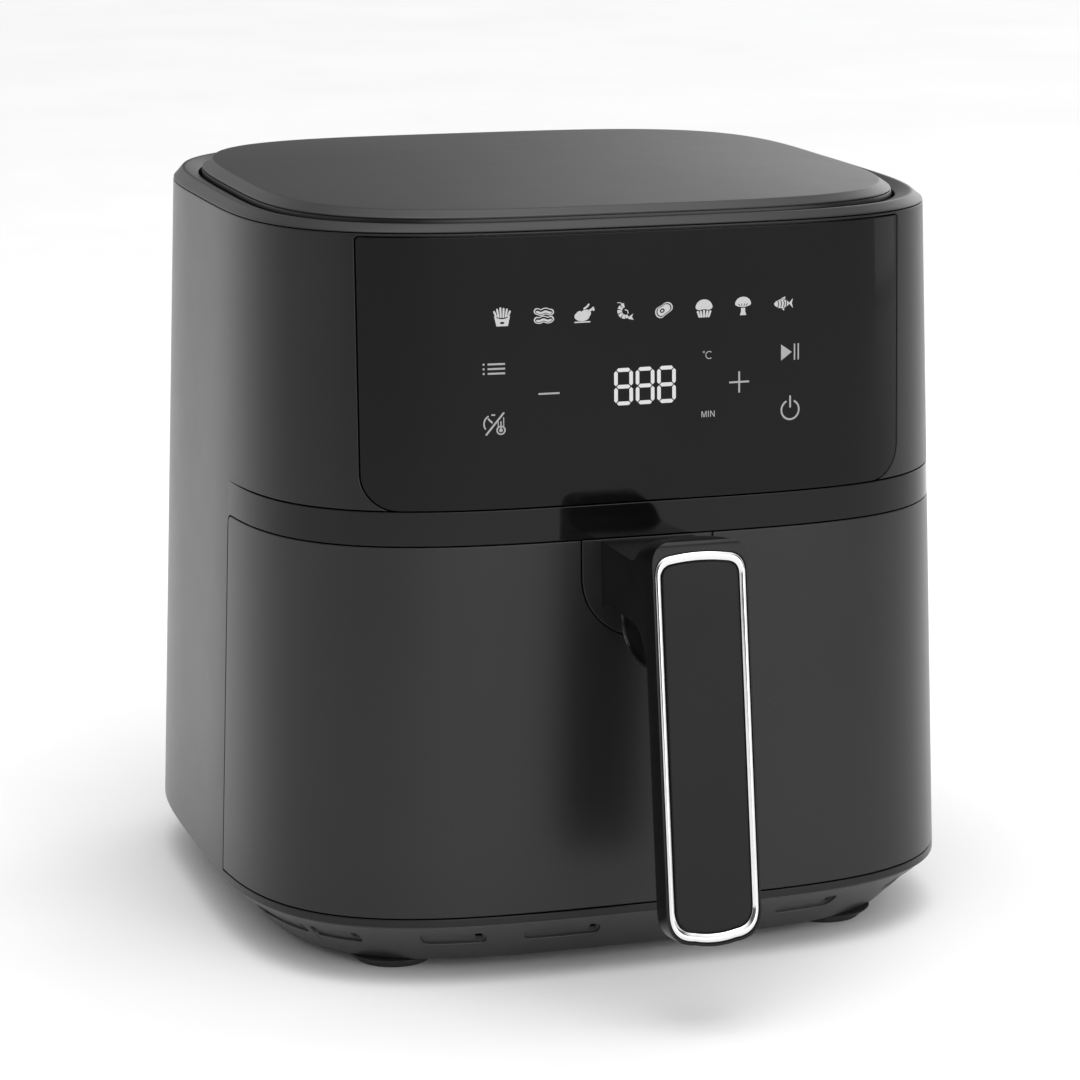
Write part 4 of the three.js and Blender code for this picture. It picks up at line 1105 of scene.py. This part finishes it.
def make_insert():
    step = RING_WIDTH + 0.4
    outer = SHELL_LIP + GAP + RING_SIDE_SHARE * step
    back = -POCKET_DEPTH + GAP
    profile = [(0, back), (0, -0.75), (0.06, -0.5), (0.25, -0.3), (0.6, -0.22), (1.2, -0.2)]
    loops = [
        grip_loop(outer + m, RING_TOP - step - m, RING_BOTTOM + step + m, proud)
        for m, proud in profile
    ]
    return lofted("handle_insert_skin", loops, degrees=50)


def handle_side():
    """Neck and grip from the side, as (y, z). Each row ends a curve by its control point, or a
    straight line."""

    def back(z):
        return grip_front(z) + GRIP_DEPTH

    run = [(-137.5, NECK_TOP), (-173, NECK_TOP)]
    for *control, point in (
        ((-178.5, NECK_TOP), (-181, NECK_TOP + 6)),
        ((-184, GRIP_TOP), (-190, GRIP_TOP)),
        ((-194.5, GRIP_TOP),),
        ((-196.6, GRIP_TOP - 0.6), (grip_front(GRIP_TOP - 3), GRIP_TOP - 3)),
        ((grip_front(GRIP_BOTTOM), GRIP_BOTTOM),),
        ((back(GRIP_BOTTOM) - 3, GRIP_BOTTOM),),
        ((back(GRIP_BOTTOM + 2), GRIP_BOTTOM), (back(GRIP_BOTTOM + 6), GRIP_BOTTOM + 6)),
        ((back(NECK_BOTTOM - 18), NECK_BOTTOM - 18),),
        ((back(NECK_BOTTOM - 3), NECK_BOTTOM - 1), (-176, NECK_BOTTOM)),
        ((-147, NECK_BOTTOM),),
        ((-139, NECK_BOTTOM), (-137.5, NECK_BOTTOM - 8)),
    ):
        if control:
            curve_on(run, *control, point, 10)
        else:
            run.append(point)
    return run


def solid(name, loops):
    """A throwaway object for cutting and joining."""
    return placed(name, lofted(name, loops))


def combine(piece, other, operation):
    """Applies one exact boolean and removes the other solid."""
    modifier = piece.modifiers.new("combine", "BOOLEAN")
    modifier.operation = operation
    modifier.object = other
    modifier.solver = "EXACT"
    graph = bpy.context.evaluated_depsgraph_get()
    mesh = bpy.data.meshes.new_from_object(piece.evaluated_get(graph))
    piece.modifiers.clear()
    piece.data = mesh
    bpy.data.objects.remove(other)
    return piece


def round_edges(mesh, width, low_angle, segments, choose):
    """Bevels the chosen edges that turn by more than an angle in degrees."""
    bm = bmesh.new()
    bm.from_mesh(mesh)
    bmesh.ops.remove_doubles(bm, verts=bm.verts, dist=2e-6)
    bmesh.ops.dissolve_degenerate(bm, edges=bm.edges, dist=2e-6)
    limit = math.radians(low_angle)
    edges = [e for e in bm.edges if len(e.link_faces) == 2
             and e.calc_face_angle(0) > limit and choose(e)]
    bmesh.ops.bevel(
        bm, geom=edges, offset=width / 1000, segments=segments, profile=0.5,
        affect="EDGES", clamp_overlap=True, offset_type="OFFSET",
    )
    bm.to_mesh(mesh)
    bm.free()
    return mesh


def make_handle_shell():
    half = HANDLE_HALF_WIDTH
    side = handle_side()
    shape = solid("handle_side", [[(x, y, z) for y, z in side] for x in (half, -half)])
    high = (GRIP_TOP + 1.2 - GRIP_MIDDLE_HEIGHT) / math.cos(GRIP_LEAN)
    low = (GRIP_BOTTOM - GRIP_MIDDLE_HEIGHT) / math.cos(GRIP_LEAN)
    grip = solid("grip", [grip_loop(0, high, low, proud, 1.0001) for proud in (-20, 5)])
    corners = [(-188.0, NECK_BOTTOM - 12), (-130.0, NECK_BOTTOM - 12),
               (-130.0, NECK_TOP + 1), (-188.0, NECK_TOP + 1)]
    neck = solid("neck", [[(x, y, z) for y, z in corners] for x in (half + 1, -half - 1)])
    shape = combine(shape, combine(grip, neck, "UNION"), "INTERSECT")

    def at_front(edge):
        """An edge in the grip's front plane."""
        return all(
            abs(v.co.y * 1000 - CENTRE_Y - grip_front(v.co.z * 1000)) < 0.05 for v in edge.verts
        )

    round_edges(shape.data, 0.35, 40, 3, at_front)
    round_edges(shape.data, 1.3, 40, 4, lambda edge: not at_front(edge))
    pocket = [grip_loop(SHELL_LIP, RING_TOP + 0.4, RING_BOTTOM - 0.4, proud)
              for proud in (-POCKET_DEPTH, 10)]
    shape = combine(shape, solid("pocket", pocket), "DIFFERENCE")
    mesh = shape.data
    bpy.data.objects.remove(shape)
    mesh.name = "handle_shell_skin"
    return smooth(mesh, 32)


def make_guard():
    def edge(inset):
        top, low = NECK_BOTTOM - 0.5 - inset, NECK_BOTTOM - 16 + inset
        run = [(-155.5 - inset, top)]
        curve_on(run, (-157.5 - inset, low + 1), (-178, low), 20)
        run += [(-190 + 1.5 * inset, low), (-188 + 1.5 * inset, NECK_BOTTOM - 9)]
        curve_on(run, (-184.5 + inset, top - 0.5), (-176, top), 12)
        return run

    half, recess = GUARD_HALF_WIDTH, GUARD_RECESS
    steps = [(1.25, half - recess), (1.1, half - recess + 0.15), (1.1, half - 0.2),
             (0.95, half), (0.25, half), (0.0, half - 0.25)]
    loops = [[(-x, y, z) for y, z in edge(inset)] for inset, x in steps]
    loops += [[(x, y, z) for y, z in edge(inset)] for inset, x in steps[::-1]]
    return lofted("handle_guard_skin", loops, degrees=40)


# ---- Pot and tray --------------------------------------------------------------------------

POT_HALF = 112.0
POT_FLANGE_HALF = 117.0
POT_BOTTOM = 36.0
POT_RIM = 164.2
POT_SHEET = 1.2
TRAY_HALF = 104.0
TRAY_HEIGHT = 50.0
TRAY_THICKNESS = 1.6
TRAY_PITCH = 42.0
LEG_PLACE = 70.0


def make_pot():
    rise = POT_BOTTOM + 14
    under = POT_RIM - POT_SHEET
    foot = above(POT_BOTTOM, [(93.0, 0), (99.0, 1.2), (104, 4.2), (107, 8.4), (108.4, 14)])
    outside = curve_profile(foot, 5)
    wall = [(108.4 + (POT_HALF - 108.6) * k, rise + (under - 1.2 - rise) * k)
            for k in np.linspace(0, 1, 8)[1:]]
    rim = [(POT_HALF + 0.3, under - 0.3), (POT_HALF + 1.0, under), (POT_FLANGE_HALF - 0.4, under),
           (POT_FLANGE_HALF, under + 0.4), (POT_FLANGE_HALF, POT_RIM - 0.4),
           (POT_FLANGE_HALF - 0.4, POT_RIM), (POT_HALF + 0.6, POT_RIM),
           (POT_HALF - 0.6, POT_RIM - 0.4), (POT_HALF - POT_SHEET, POT_RIM - 1.6)]
    inner = [(x - POT_SHEET, z) for x, z in wall[::-1][1:]]
    inside = [(x - POT_SHEET * 0.9, z + POT_SHEET * 0.9) for x, z in outside[::-1]]
    profile = [(0.01, POT_BOTTOM), (60, POT_BOTTOM), *outside, *wall, *rim, *inner, *inside,
               (60, POT_BOTTOM + POT_SHEET), (0.01, POT_BOTTOM + POT_SHEET)]
    return around_square("cooking_pot_skin", profile, 6)


def make_tray():
    """The crisper plate: a pressed floor with round holes, a turned-up edge and four legs."""
    top = TRAY_HEIGHT + TRAY_THICKNESS
    bm = bmesh.new()
    unit_x, unit_y = rounded_square(np.linspace(0, 2 * math.pi, 240, endpoint=False), 5)

    def ring(x, y, z):
        return [bm.verts.new(p) for p in to_row(np.stack([x, y, np.full(len(x), z)], 1))]

    wall = [(TRAY_HALF - 1.0, TRAY_HEIGHT), (TRAY_HALF - 0.3, TRAY_HEIGHT + 0.3),
            (TRAY_HALF, TRAY_HEIGHT + 1.0), (TRAY_HALF, top + 2.6), (TRAY_HALF - 0.4, top + 3),
            (TRAY_HALF - 1.2, top + 3), (TRAY_HALF - 1.6, top + 2.6), (TRAY_HALF - 1.6, top + 0.9),
            (TRAY_HALF - 1.9, top + 0.3), (TRAY_HALF - 2.6, top)]
    rings = [ring(size * unit_x, size * unit_y, z) for size, z in wall]
    strips(bm, rings)
    under, over = ring_edges(bm, rings[0]), ring_edges(bm, rings[-1])
    spots = [(0.0, 0.0, 11.0)]
    for row in np.arange(-1.5, 2):
        for column in np.arange(-1.5, 2):
            spots.append((column * TRAY_PITCH, row * TRAY_PITCH, 6.6))
    for row in range(-2, 3):
        for column in range(-2, 3):
            x, y = column * TRAY_PITCH, row * TRAY_PITCH
            off_leg = math.hypot(abs(x) - LEG_PLACE, abs(y) - LEG_PLACE) > 8
            if (row or column) and off_leg:
                spots.append((x, y, 3.0))
    for x, y, radius in spots:
        levels = [(radius + 0.5, top), (radius + 0.12, top - 0.14), (radius, top - 0.5),
                  (radius, TRAY_HEIGHT)]
        holes = [ring(*circle(x, y, r, 28), z) for r, z in levels]
        strips(bm, holes)
        over += ring_edges(bm, holes[0])
        under += ring_edges(bm, holes[-1])
    fill_edges(bm, over, (0, 0, 1))
    fill_edges(bm, under, (0, 0, -1))
    for x in (-LEG_PLACE, LEG_PLACE):
        for y in (-LEG_PLACE, LEG_PLACE):
            foot = POT_BOTTOM + POT_SHEET + GAP
            legs = [ring(*circle(x, y, r, 24), z) for r, z in (
                (3.4, foot), (3.9, foot + 0.4), (4, foot + 1), (4, TRAY_HEIGHT + 0.2))]
            bm.faces.new(legs[0])
            strips(bm, legs)
    bmesh.ops.recalc_face_normals(bm, faces=bm.faces)
    return smooth(mesh_of(bm, "crisper_plate_skin"), 35)


def make_clip(index):
    """A silicone clip that folds over the plate's edge, rounded like the moulding it is."""
    rim = TRAY_HEIGHT + TRAY_THICKNESS + 3
    outline = [
        *above(TRAY_HEIGHT, [(-4.2, -2.4), (1.2, -2.4), (1.5, -2.1)]),
        *above(rim, [(1.5, 1.4), (0.9, 2), (-1.4, 2), (-2.0, 1.4)]),
        *above(TRAY_HEIGHT, [(-2.4, 5.0), (-4.1, 2.9), (-4.5, 2.2), (-4.5, 1.95), (-1.95, 1.95)]),
        *above(rim, [(-1.95, 0.35), (0.35, 0.35)]),
        *above(TRAY_HEIGHT, [(0.35, -0.35), (-4.5, -0.35), (-4.5, -2.1)]),
    ]
    turn = index * math.pi / 2
    loops = []
    for x, squeeze in ((-9, 0.35), (-8.7, 0.1), (-8.2, 0), (8.2, 0), (8.7, 0.1), (9, 0.35)):
        ring = []
        for y, z in outline:
            if z < TRAY_HEIGHT - 2 or z > rim + 1:
                z += squeeze * (0.5 if z < TRAY_HEIGHT else -0.5)
            out = TRAY_HALF + y
            ring.append((x * math.cos(turn) - out * math.sin(turn),
                         x * math.sin(turn) + out * math.cos(turn), z))
        loops.append(ring)
    return lofted(f"clip_skin_{index + 1}", loops, degrees=30)


# ---- Legend on the panel -------------------------------------------------------------------

MARK_PROUD = 0.05


def ellipse(cx, cz, rx, rz, start=0.0, end=360.0, tilt=0.0, count=28):
    turns = np.radians(np.linspace(start, end, count, endpoint=end - start < 360))
    if end - start >= 360:
        turns = turns[:-1]
    x, z = rx * np.cos(turns), rz * np.sin(turns)
    c, s = math.cos(math.radians(tilt)), math.sin(math.radians(tilt))
    return np.stack([cx + x * c - z * s, cz + x * s + z * c], 1)


def stroke(points, width, rounded=True):
    """A line of constant width through the points, as one outline."""
    points = np.array(points, float)
    along = np.gradient(points, axis=0)
    along /= np.linalg.norm(along, axis=1, keepdims=True)
    across = np.stack([-along[:, 1], along[:, 0]], 1) * width / 2
    outline = [*(points + across)]
    for end, first in ((-1, 90), (0, 270)):
        if rounded:
            heading = math.degrees(math.atan2(along[end][1], along[end][0]))
            for turn in np.radians(np.linspace(first, first - 180, 7)[1:-1] + heading):
                outline.append(points[end] + width / 2 * np.array((math.cos(turn), math.sin(turn))))
        if end == -1:
            outline += [*(points - across)[::-1]]
    return np.array(outline)


def bent(cx, cz, radius, start, end, width, count):
    """A stroke along an arc, with square ends."""
    return stroke(ellipse(cx, cz, radius, radius, start, end, count=count), width, False)


def marks(name, shapes, centre, material, scale):
    """Printed marks on the panel. Each shape is an outline, or a list of an outline and holes."""
    bm = bmesh.new()
    for shape in shapes:
        edges = []
        for ring in shape if isinstance(shape, list) else [shape]:
            edges += ring_edges(
                bm, [bm.verts.new((x, 0, z)) for x, z in scale * np.array(ring)]
            )
        fill_edges(bm, edges, (0, -1, 0))
    bmesh.ops.recalc_face_normals(bm, faces=bm.faces)
    flat = np.array([v.co for v in bm.verts], float)
    x, z = flat[:, 0] + centre[0], flat[:, 2] + centre[1]
    points = to_row(on_body(u_at_x(x, z), z, np.full(len(x), -MARK_PROUD))[0])
    for vert, point in zip(bm.verts, points):
        vert.co = point
    for face in bm.faces:
        if face.normal.y > 0:
            face.normal_flip()
    object_from(name, smooth(mesh_of(bm, name)), "housing", material)


def bar(x0, z0, x1, z1, width, rounded=True):
    return stroke([(x0, z0), (x1, z1)], width, rounded)


def wavy(reach, z, width, phase):
    """A strip with a wavy length, from -reach to reach."""
    x = np.linspace(-reach, reach, 26)
    return stroke(np.stack([x, z + 0.3 * np.sin((x + phase) * 1.55)], 1), width)


def fries():
    carton = [(-2.5, -3.8), (2.5, -3.8), (3.5, 0.7), (2.4, -0.2), (0.9, -0.75), (-0.9, -0.75),
              (-2.4, -0.2), (-3.5, 0.7)]
    shapes = [[carton, ellipse(0, -2.4, 1.0, 0.5)]]
    for x0, x1, top in ((-2.6, -3.4, 2.4), (-1.6, -2.1, 3.3), (-0.55, -0.7, 3.9),
                        (0.55, 0.7, 3.6), (1.6, 2.1, 3.3), (2.6, 3.4, 2.4)):
        foot = 0.15 - 0.4 * (1 - abs(x0) / 2.6)
        shapes.append(bar(x0, foot + 0.3, x1, top, 0.85))
    return shapes


def bacon():
    shapes = []
    for z, phase in ((1.7, 0.3), (-1.7, 1.2)):
        shapes += [[wavy(3.1, z, 2.8, phase), wavy(2.9, z, 2.0, phase)],
                   wavy(3.0, z - 0.25, 0.95, phase)]
    return shapes


def poultry():
    body = np.concatenate([ellipse(-0.9, -1.0, 3.4, 2.1, 150, 330, count=18),
                           ellipse(0.6, -0.3, 2.6, 2.0, -20, 120, 20, count=14),
                           ellipse(-1.3, -0.3, 2.3, 1.7, 100, 165, count=6)])
    leg = stroke([(1.4, 0.2), (2.9, 1.5), (3.7, 1.9)], 0.95)
    knobs = [ellipse(x, z, 0.5, 0.5, count=16) for x, z in ((4.1, 2.35), (4.3, 1.6))]
    wing = stroke([(0.1, 2.2), (1.5, 3.1), (2.1, 3.9)], 0.8)
    return [body, leg, *knobs, wing, bar(-4.1, -3.5, 2.6, -3.5, 0.55)]


def shrimp():
    rings = ((100, 1.9), (135, 2.1), (170, 2.1), (205, 2.0), (240, 1.8), (272, 1.5))
    return [
        *[bent(0.6, 0.4, 2.5, start, start + 28, width, 8) for start, width in rings],
        ((1.9, -2.4), (4.2, -0.9), (3.6, -2.3), (4.4, -3.6), (2.0, -3.1)),
        stroke([(-0.2, 3.4), (-1.6, 4.0), (-2.9, 4.1)], 0.3),
        stroke([(0.6, 0.9), (1.6, 0.5), (1.9, -0.6)], 0.45),
    ]


def steak():
    outer = np.concatenate([ellipse(1.4, 0.9, 2.6, 2.4, -50, 120, 20, count=20),
                            ellipse(-1.7, -1.0, 2.3, 2.5, 110, 300, 20, count=20)])
    middle = np.array([-0.1, 0.0])
    return [[outer, (outer - middle) * 0.86 + middle],
            [(outer - middle) * 0.74 + middle, ellipse(-0.8, -0.3, 1.15, 0.95, tilt=20)],
            ellipse(-0.8, -0.3, 0.55, 0.4, tilt=20)]


def cake():
    dome = np.concatenate([
        ellipse(0, 0.2, 3.9, 3.5, 0, 180, count=24),
        [(-3.4, -0.5), (-2.2, -0.9), (0, -0.5), (2.2, -0.9), (3.4, -0.5)],
    ])
    pleats = ((-2.9, -2.1), (-1.5, -1.1), (0, 0), (1.5, 1.1), (2.9, 2.1))
    return [dome, *[bar(x0, -1.6 if x0 else -1.25, x1, -3.7, 0.95) for x0, x1 in pleats]]


def mushroom():
    cap = np.concatenate([ellipse(0, 0.9, 3.7, 3.1, 0, 180, count=24),
                          ellipse(0, 0.9, 3.7, 1.3, 180, 360, count=14)[1:-1]])
    gills = ((-2.1, -1.4), (-0.7, -0.5), (0.7, 0.5), (2.1, 1.4))
    stem = ((-1.0, -0.8), (1.0, -0.8), (0.95, -2.4), (1.5, -4.0), (-1.5, -4.0), (-0.95, -2.4))
    return [[cap, *[bar(x0, 0.9, x1, 0.2, 0.35) for x0, x1 in gills]], stem]


def fish():
    body = np.concatenate([ellipse(-0.6, -1.9, 3.9, 3.6, 35, 145, count=18),
                           ellipse(-0.6, 1.9, 3.9, 3.6, 215, 325, count=18)[1:-1]])
    gaps = [stroke([(x - 0.15, 1.15), (x + 0.2, 0), (x - 0.15, -1.15)], 0.4)
            for x in (-2.0, -0.8, 0.4, 1.4)]
    tail = ((2.5, 0.1), (4.2, 1.9), (3.7, 0), (4.2, -1.9), (2.5, -0.1))
    return [[body, *gaps], tail, ((-1.0, 1.95), (0.9, 2.7), (0.9, 1.8)),
            ((-0.6, -1.95), (0.4, -2.7), (0.6, -1.8))]


def seven_segments():
    """One digit with every segment lit: hexagonal bars with cut corners."""
    w, h, half, gap = 3.75, 7.1, 1.45 / 2, 0.18 * 1.6
    x, bars = w - half - gap, []
    for z in (h - half, 0.0, -h + half):
        bars.append(((-x, z), (-x + half, z - half), (x - half, z - half), (x, z),
                     (x - half, z + half), (-x + half, z + half)))
    for x in (-w + half, w - half):
        for low, high in ((-h + half + gap, -gap), (gap, h - half - gap)):
            bars.append(((x, low), (x + half, low + half), (x + half, high - half),
                         (x, high), (x - half, high - half), (x - half, low + half)))
    return bars


THIN = 0.75
CROSS = (4.3, THIN / 2)
MIN_STROKES = [(-2.9, -1.35, -2.9, 1.35, 0.36), (-2.75, 1.3, -1.9, -1.3, 0.32),
               (-1.05, 1.3, -1.9, -1.3, 0.32), (-0.9, -1.35, -0.9, 1.35, 0.36),
               (0.1, -1.35, 0.1, 1.35, 0.38), (1.1, -1.35, 1.1, 1.35, 0.36),
               (1.2, 1.3, 2.75, -1.3, 0.34), (2.85, -1.35, 2.85, 1.35, 0.36)]


def plus():
    a, b = CROSS
    return ((-a, -b), (-b, -b), (-b, -a), (b, -a), (b, -b), (a, -b), (a, b), (b, b), (b, a),
            (-b, a), (-b, b), (-a, b))


def make_legend():
    """The lit marks: a row of foods, the digits, and the keys round them. Each row below is a
    name, its middle (x, height above the drawer's bottom), its scale and its shapes."""
    foods = (fries, bacon, poultry, shrimp, steak, cake, mushroom, fish)
    places = (-56.6, -40.5, -24.8, -9.0, 7.0, 23.1, 39.0, 55.6)
    rows = [(f"mark_{food.__name__}", x, 231.6, 1.0 if food is fish else 0.88, food())
            for food, x in zip(foods, places)]
    digits = [(f"mark_digit_{i + 1}", x, 203.2, 1.0, seven_segments())
              for i, x in enumerate((-9.3, -0.7, 7.9))]
    keys = [
        ("mark_menu", -59.9, 212.3, 0.84, [
            *[bar(-2.9, z, 5.0, z, 0.85, False) for z in (2.1, 0, -2.1)],
            *[ellipse(-4.7, z, 0.5, 0.5, count=14) for z in (2.1, 0, -2.1)]]),
        ("mark_minus", -38.8, 202.1, 0.9, [bar(-4.3, 0, 4.3, 0, THIN)]),
        ("mark_plus", 37.4, 202.5, 0.95, [plus()]),
        ("mark_start", 58.6, 212.8, 0.95, [
            ((-4.0, -3.3), (0.8, 0), (-4.0, 3.3)),
            *[bar(x, -3.3, x, 3.3, 0.6, False) for x in (2.0, 3.7)]]),
        ("mark_power", 58.7, 191.0, 0.95, [
            bent(0, -0.6, 3.9, -245, 65, THIN, 40), bar(0, 0.6, 0, 4.9, THIN)]),
        ("mark_dial", -59.8, 191.5, 0.95, [
            bent(-0.8, 0, 3.6, 118, 215, 0.6, 20), bent(-0.8, 0, 3.6, 75, 100, 0.6, 8),
            bar(-3.5, -4.2, 3.5, 4.2, THIN), bar(-2.6, 2.0, -1.2, 0.6, 0.7),
            [ellipse(2.4, -2.6, 1.9, 1.9, 115, 425, count=26),
             ellipse(2.4, -2.6, 1.3, 1.3, count=20)],
            ellipse(2.4, -2.6, 0.75, 0.75, count=16), bar(2.4, -2.2, 2.4, 0.8, 0.5),
            bar(1.3, -1.2, 1.3, 0.7, 0.4), bar(3.5, -1.2, 3.5, 2.4, 0.4)]),
        ("mark_unit_c", 24.7, 213.5, 0.78, [
            bent(0.6, 0, 1.75, 50, 310, 0.42, 24), bent(-2.2, 1.6, 0.42, 0, 350, 0.25, 14)]),
        ("mark_unit_min", 24.7, 190.9, 0.88, [bar(*line, False) for line in MIN_STROKES]),
    ]
    for group, material in ((rows, LIT_ICONS), (digits, LIT_DIGITS), (keys, LIT_KEYS)):
        for name, x, height, scale, shapes in group:
            marks(name, shapes, (x, height + DRAWER_BOTTOM), material, scale)


# ---- Assembly ------------------------------------------------------------------------------


def dress(name, mesh, body, material, node):
    return object_from(name, mesh, body, material, (node,))


def dress_plate(name, outline, bevel, body, material, node):
    plate = Plate(WALL)
    plate.boundary(outline, bevel)
    dress(name, plate.finish(name), body, material, node)


dress("outer_shell_skin", make_shell(), "housing", SATIN, "outer_shell")
dress_plate("control_panel_skin", panel_outline, FINE_EDGE, "housing", PANEL, "control_panel")
dress_plate("trim_band_skin", band_outline, FINE_EDGE, "housing", BAND, "front_trim_band")
dress_plate("drawer_front_skin", drawer_front_outline, EDGE, "drawer", SATIN_DRAWER, "drawer_front")
dress("top_rim_skin", make_rim(), "housing", SATIN, "top_rim")
dress("top_cover_skin", make_cover(), "housing", COVER, "top_cover")
base_side, base_under = make_base()
dress("base_side_skin", base_side, "housing", BASE_PAINTED_LIGHT, "base_pan")
dress("base_under_skin", base_under, "housing", BASE_PAINTED_LIGHT, "base_pan")
dress_plate("handle_plate_skin", handle_plate_outline, FINE_EDGE,
            "drawer", SATIN_DRAWER, "handle_shell")
dress("handle_shell_skin", make_handle_shell(), "drawer", HANDLE, "handle_shell")
dress("handle_ring_skin", make_ring(), "drawer", CHROME, "handle_trim_ring")
dress("handle_insert_skin", make_insert(), "drawer", INSERT, "handle_insert")
guard = dress("handle_guard_skin", make_guard(), "drawer", GUARD, "handle_guard")
# The guard's second material, the near-black copy of its moulding, goes on the recessed side faces:
# painted shade in the recess.
guard.data.materials.append(RECESS_PAINTED_SHADE)
for face in guard.data.polygons:
    if abs(abs(1000 * face.center.x) - GUARD_HALF_WIDTH + GUARD_RECESS) < 0.1:
        face.material_index = 1
dress("cooking_pot_skin", make_pot(), "drawer", NON_STICK, "cooking_pot")
dress("crisper_plate_skin", make_tray(), "tray", NON_STICK, "crisper_plate")
for clip in range(4):
    dress(f"clip_skin_{clip + 1}", make_clip(clip), "tray", SILICONE, f"plate_bumper_{clip + 1}")
foot_profile = [(0.01, 0), (14.2, 0), (14.8, 0.15), (15.2, 0.6), (16.2, 1.6), (18.3, 3.2),
                (18.9, 3.8), (18.9, BASE_BOTTOM - GAP), (0.01, BASE_BOTTOM - GAP)]
for end, y in (("front", -FOOT_Y), ("rear", FOOT_Y)):
    for side, x in (("left", -FOOT_X), ("right", FOOT_X)):
        node = f"foot_{end}_{side}"
        foot = turned(f"{node}_skin", foot_profile, (x, y))
        dress(f"{node}_skin", foot, "housing", RUBBER, node)
gland_profile = [(3.8, 145.3), (9.2, 145.3), (9.5, 145.0), (9.5, 143.6), (9.2, 143.3),
                 (6.6, 143.3), (6.6, 137.8), (8.2, 137.3), (8.2, 135.3), (3.8, 135.3)]
gland = turned("cord_gland_skin", gland_profile, (GLAND_X, GLAND_HEIGHT), 48, axis_y=True)
dress("cord_gland_skin", gland, "housing", MATTE, "cord_gland")
make_legend()


# ---- Stage, lights and camera --------------------------------------------------------------

CAMERA_AZIMUTH = -17.463
CAMERA_ELEVATION = 12.530
CAMERA_DISTANCE = 1515.5
CAMERA_TARGET = (0.62, 0.0, 141.11)
CAMERA_LENS = 120.39


def direction(azimuth, elevation):
    """From the object towards a place seen at this azimuth (0 in front) and elevation."""
    a, e = math.radians(azimuth), math.radians(elevation)
    return Vector((math.sin(a) * math.cos(e), -math.cos(a) * math.cos(e), math.sin(e)))


TARGET = Vector(to_row(CAMERA_TARGET)[0])


def aimed(name, data, location, heading):
    """A camera or a light that looks along a heading."""
    thing = placed(name, data)
    thing.location = location
    thing.rotation_mode = "QUATERNION"
    thing.rotation_quaternion = heading.to_track_quat("-Z", "Y")
    return thing


def make_camera():
    data = bpy.data.cameras.new("camera")
    data.lens, data.sensor_width = CAMERA_LENS, 36.0
    data.clip_start, data.clip_end = 0.05, 60
    back = direction(CAMERA_AZIMUTH, CAMERA_ELEVATION)
    camera = aimed("camera", data, TARGET + back * CAMERA_DISTANCE / 1000, -back)
    bpy.context.scene.camera = camera


def soft_box(name, azimuth, elevation, distance, width, height, power):
    """A soft light panel turned to the target. Its distance and its sides are in metres."""
    data = bpy.data.lights.new(name, "AREA")
    data.shape, data.size, data.size_y = "RECTANGLE", width, height
    data.energy = power
    location = TARGET + direction(azimuth, elevation) * distance
    aimed(name, data, location, TARGET - location)


def make_stage():
    bpy.ops.mesh.primitive_plane_add(size=24, location=(0, 6, 0))
    floor = bpy.context.object
    floor.name = "floor"
    n = Nodes("pale_floor")
    n.into(
        Base_Color=n.mix(n.uneven(3, 3), [0.85] * 3, [0.88] * 3),
        Roughness=n.uneven(20, 3, 0.6, 0.75),
    )
    floor.data.materials.append(n.material)


# Soft glows of the studio: azimuth, elevation, the angles where each starts to fade and is gone,
# and strength. They stand in for large diffusers: in front, behind at the right, straight behind,
# overhead, and behind at the left.
STUDIO_GLOWS = [
    (17, 8, 12, 40, 2.9),
    (128, 14, 8, 38, 1.7),
    (178, 14, 10, 60, 0.12),
    (0, 85, 20, 60, 1.5),
    (-140, 8, 20, 50, 0.5),
]
STUDIO_DIM = 0.12


def make_world():
    world = bpy.data.worlds.new("studio")
    n = Tree(world)
    place = n.add("ShaderNodeTexCoord").outputs["Generated"]
    total = None
    for azimuth, elevation, inner, outer, strength in STUDIO_GLOWS:
        near = n.add("ShaderNodeVectorMath", operation="DOT_PRODUCT")
        near.inputs[1].default_value = direction(azimuth, elevation)
        n.link(place, near.inputs[0])
        edges = [math.cos(math.radians(angle)) for angle in (outer, inner)]
        glow = n.ramp(near.outputs["Value"], *edges, 0.0, strength, interpolation_type="SMOOTHSTEP")
        both = n.add("ShaderNodeMath")
        both.inputs[1].default_value = STUDIO_DIM
        if total:
            n.link(total, both.inputs[1])
        n.link(glow, both.inputs[0])
        total = both.outputs["Value"]
    background = n.tree.nodes["Background"]
    background.inputs["Color"].default_value = (1, 1, 1, 1)
    n.link(total, background.inputs["Strength"])
    bpy.context.scene.world = world


make_camera()
make_stage()
make_world()
bpy.context.scene.view_settings.view_transform = "Standard"
soft_box("left_box", -80, 22, 2.2, 1.6, 2.0, 4)
soft_box("top_box", 10, 80, 2.0, 1.6, 1.6, 14)
soft_box("right_box", 75, 18, 2.4, 0.8, 1.8, 3)
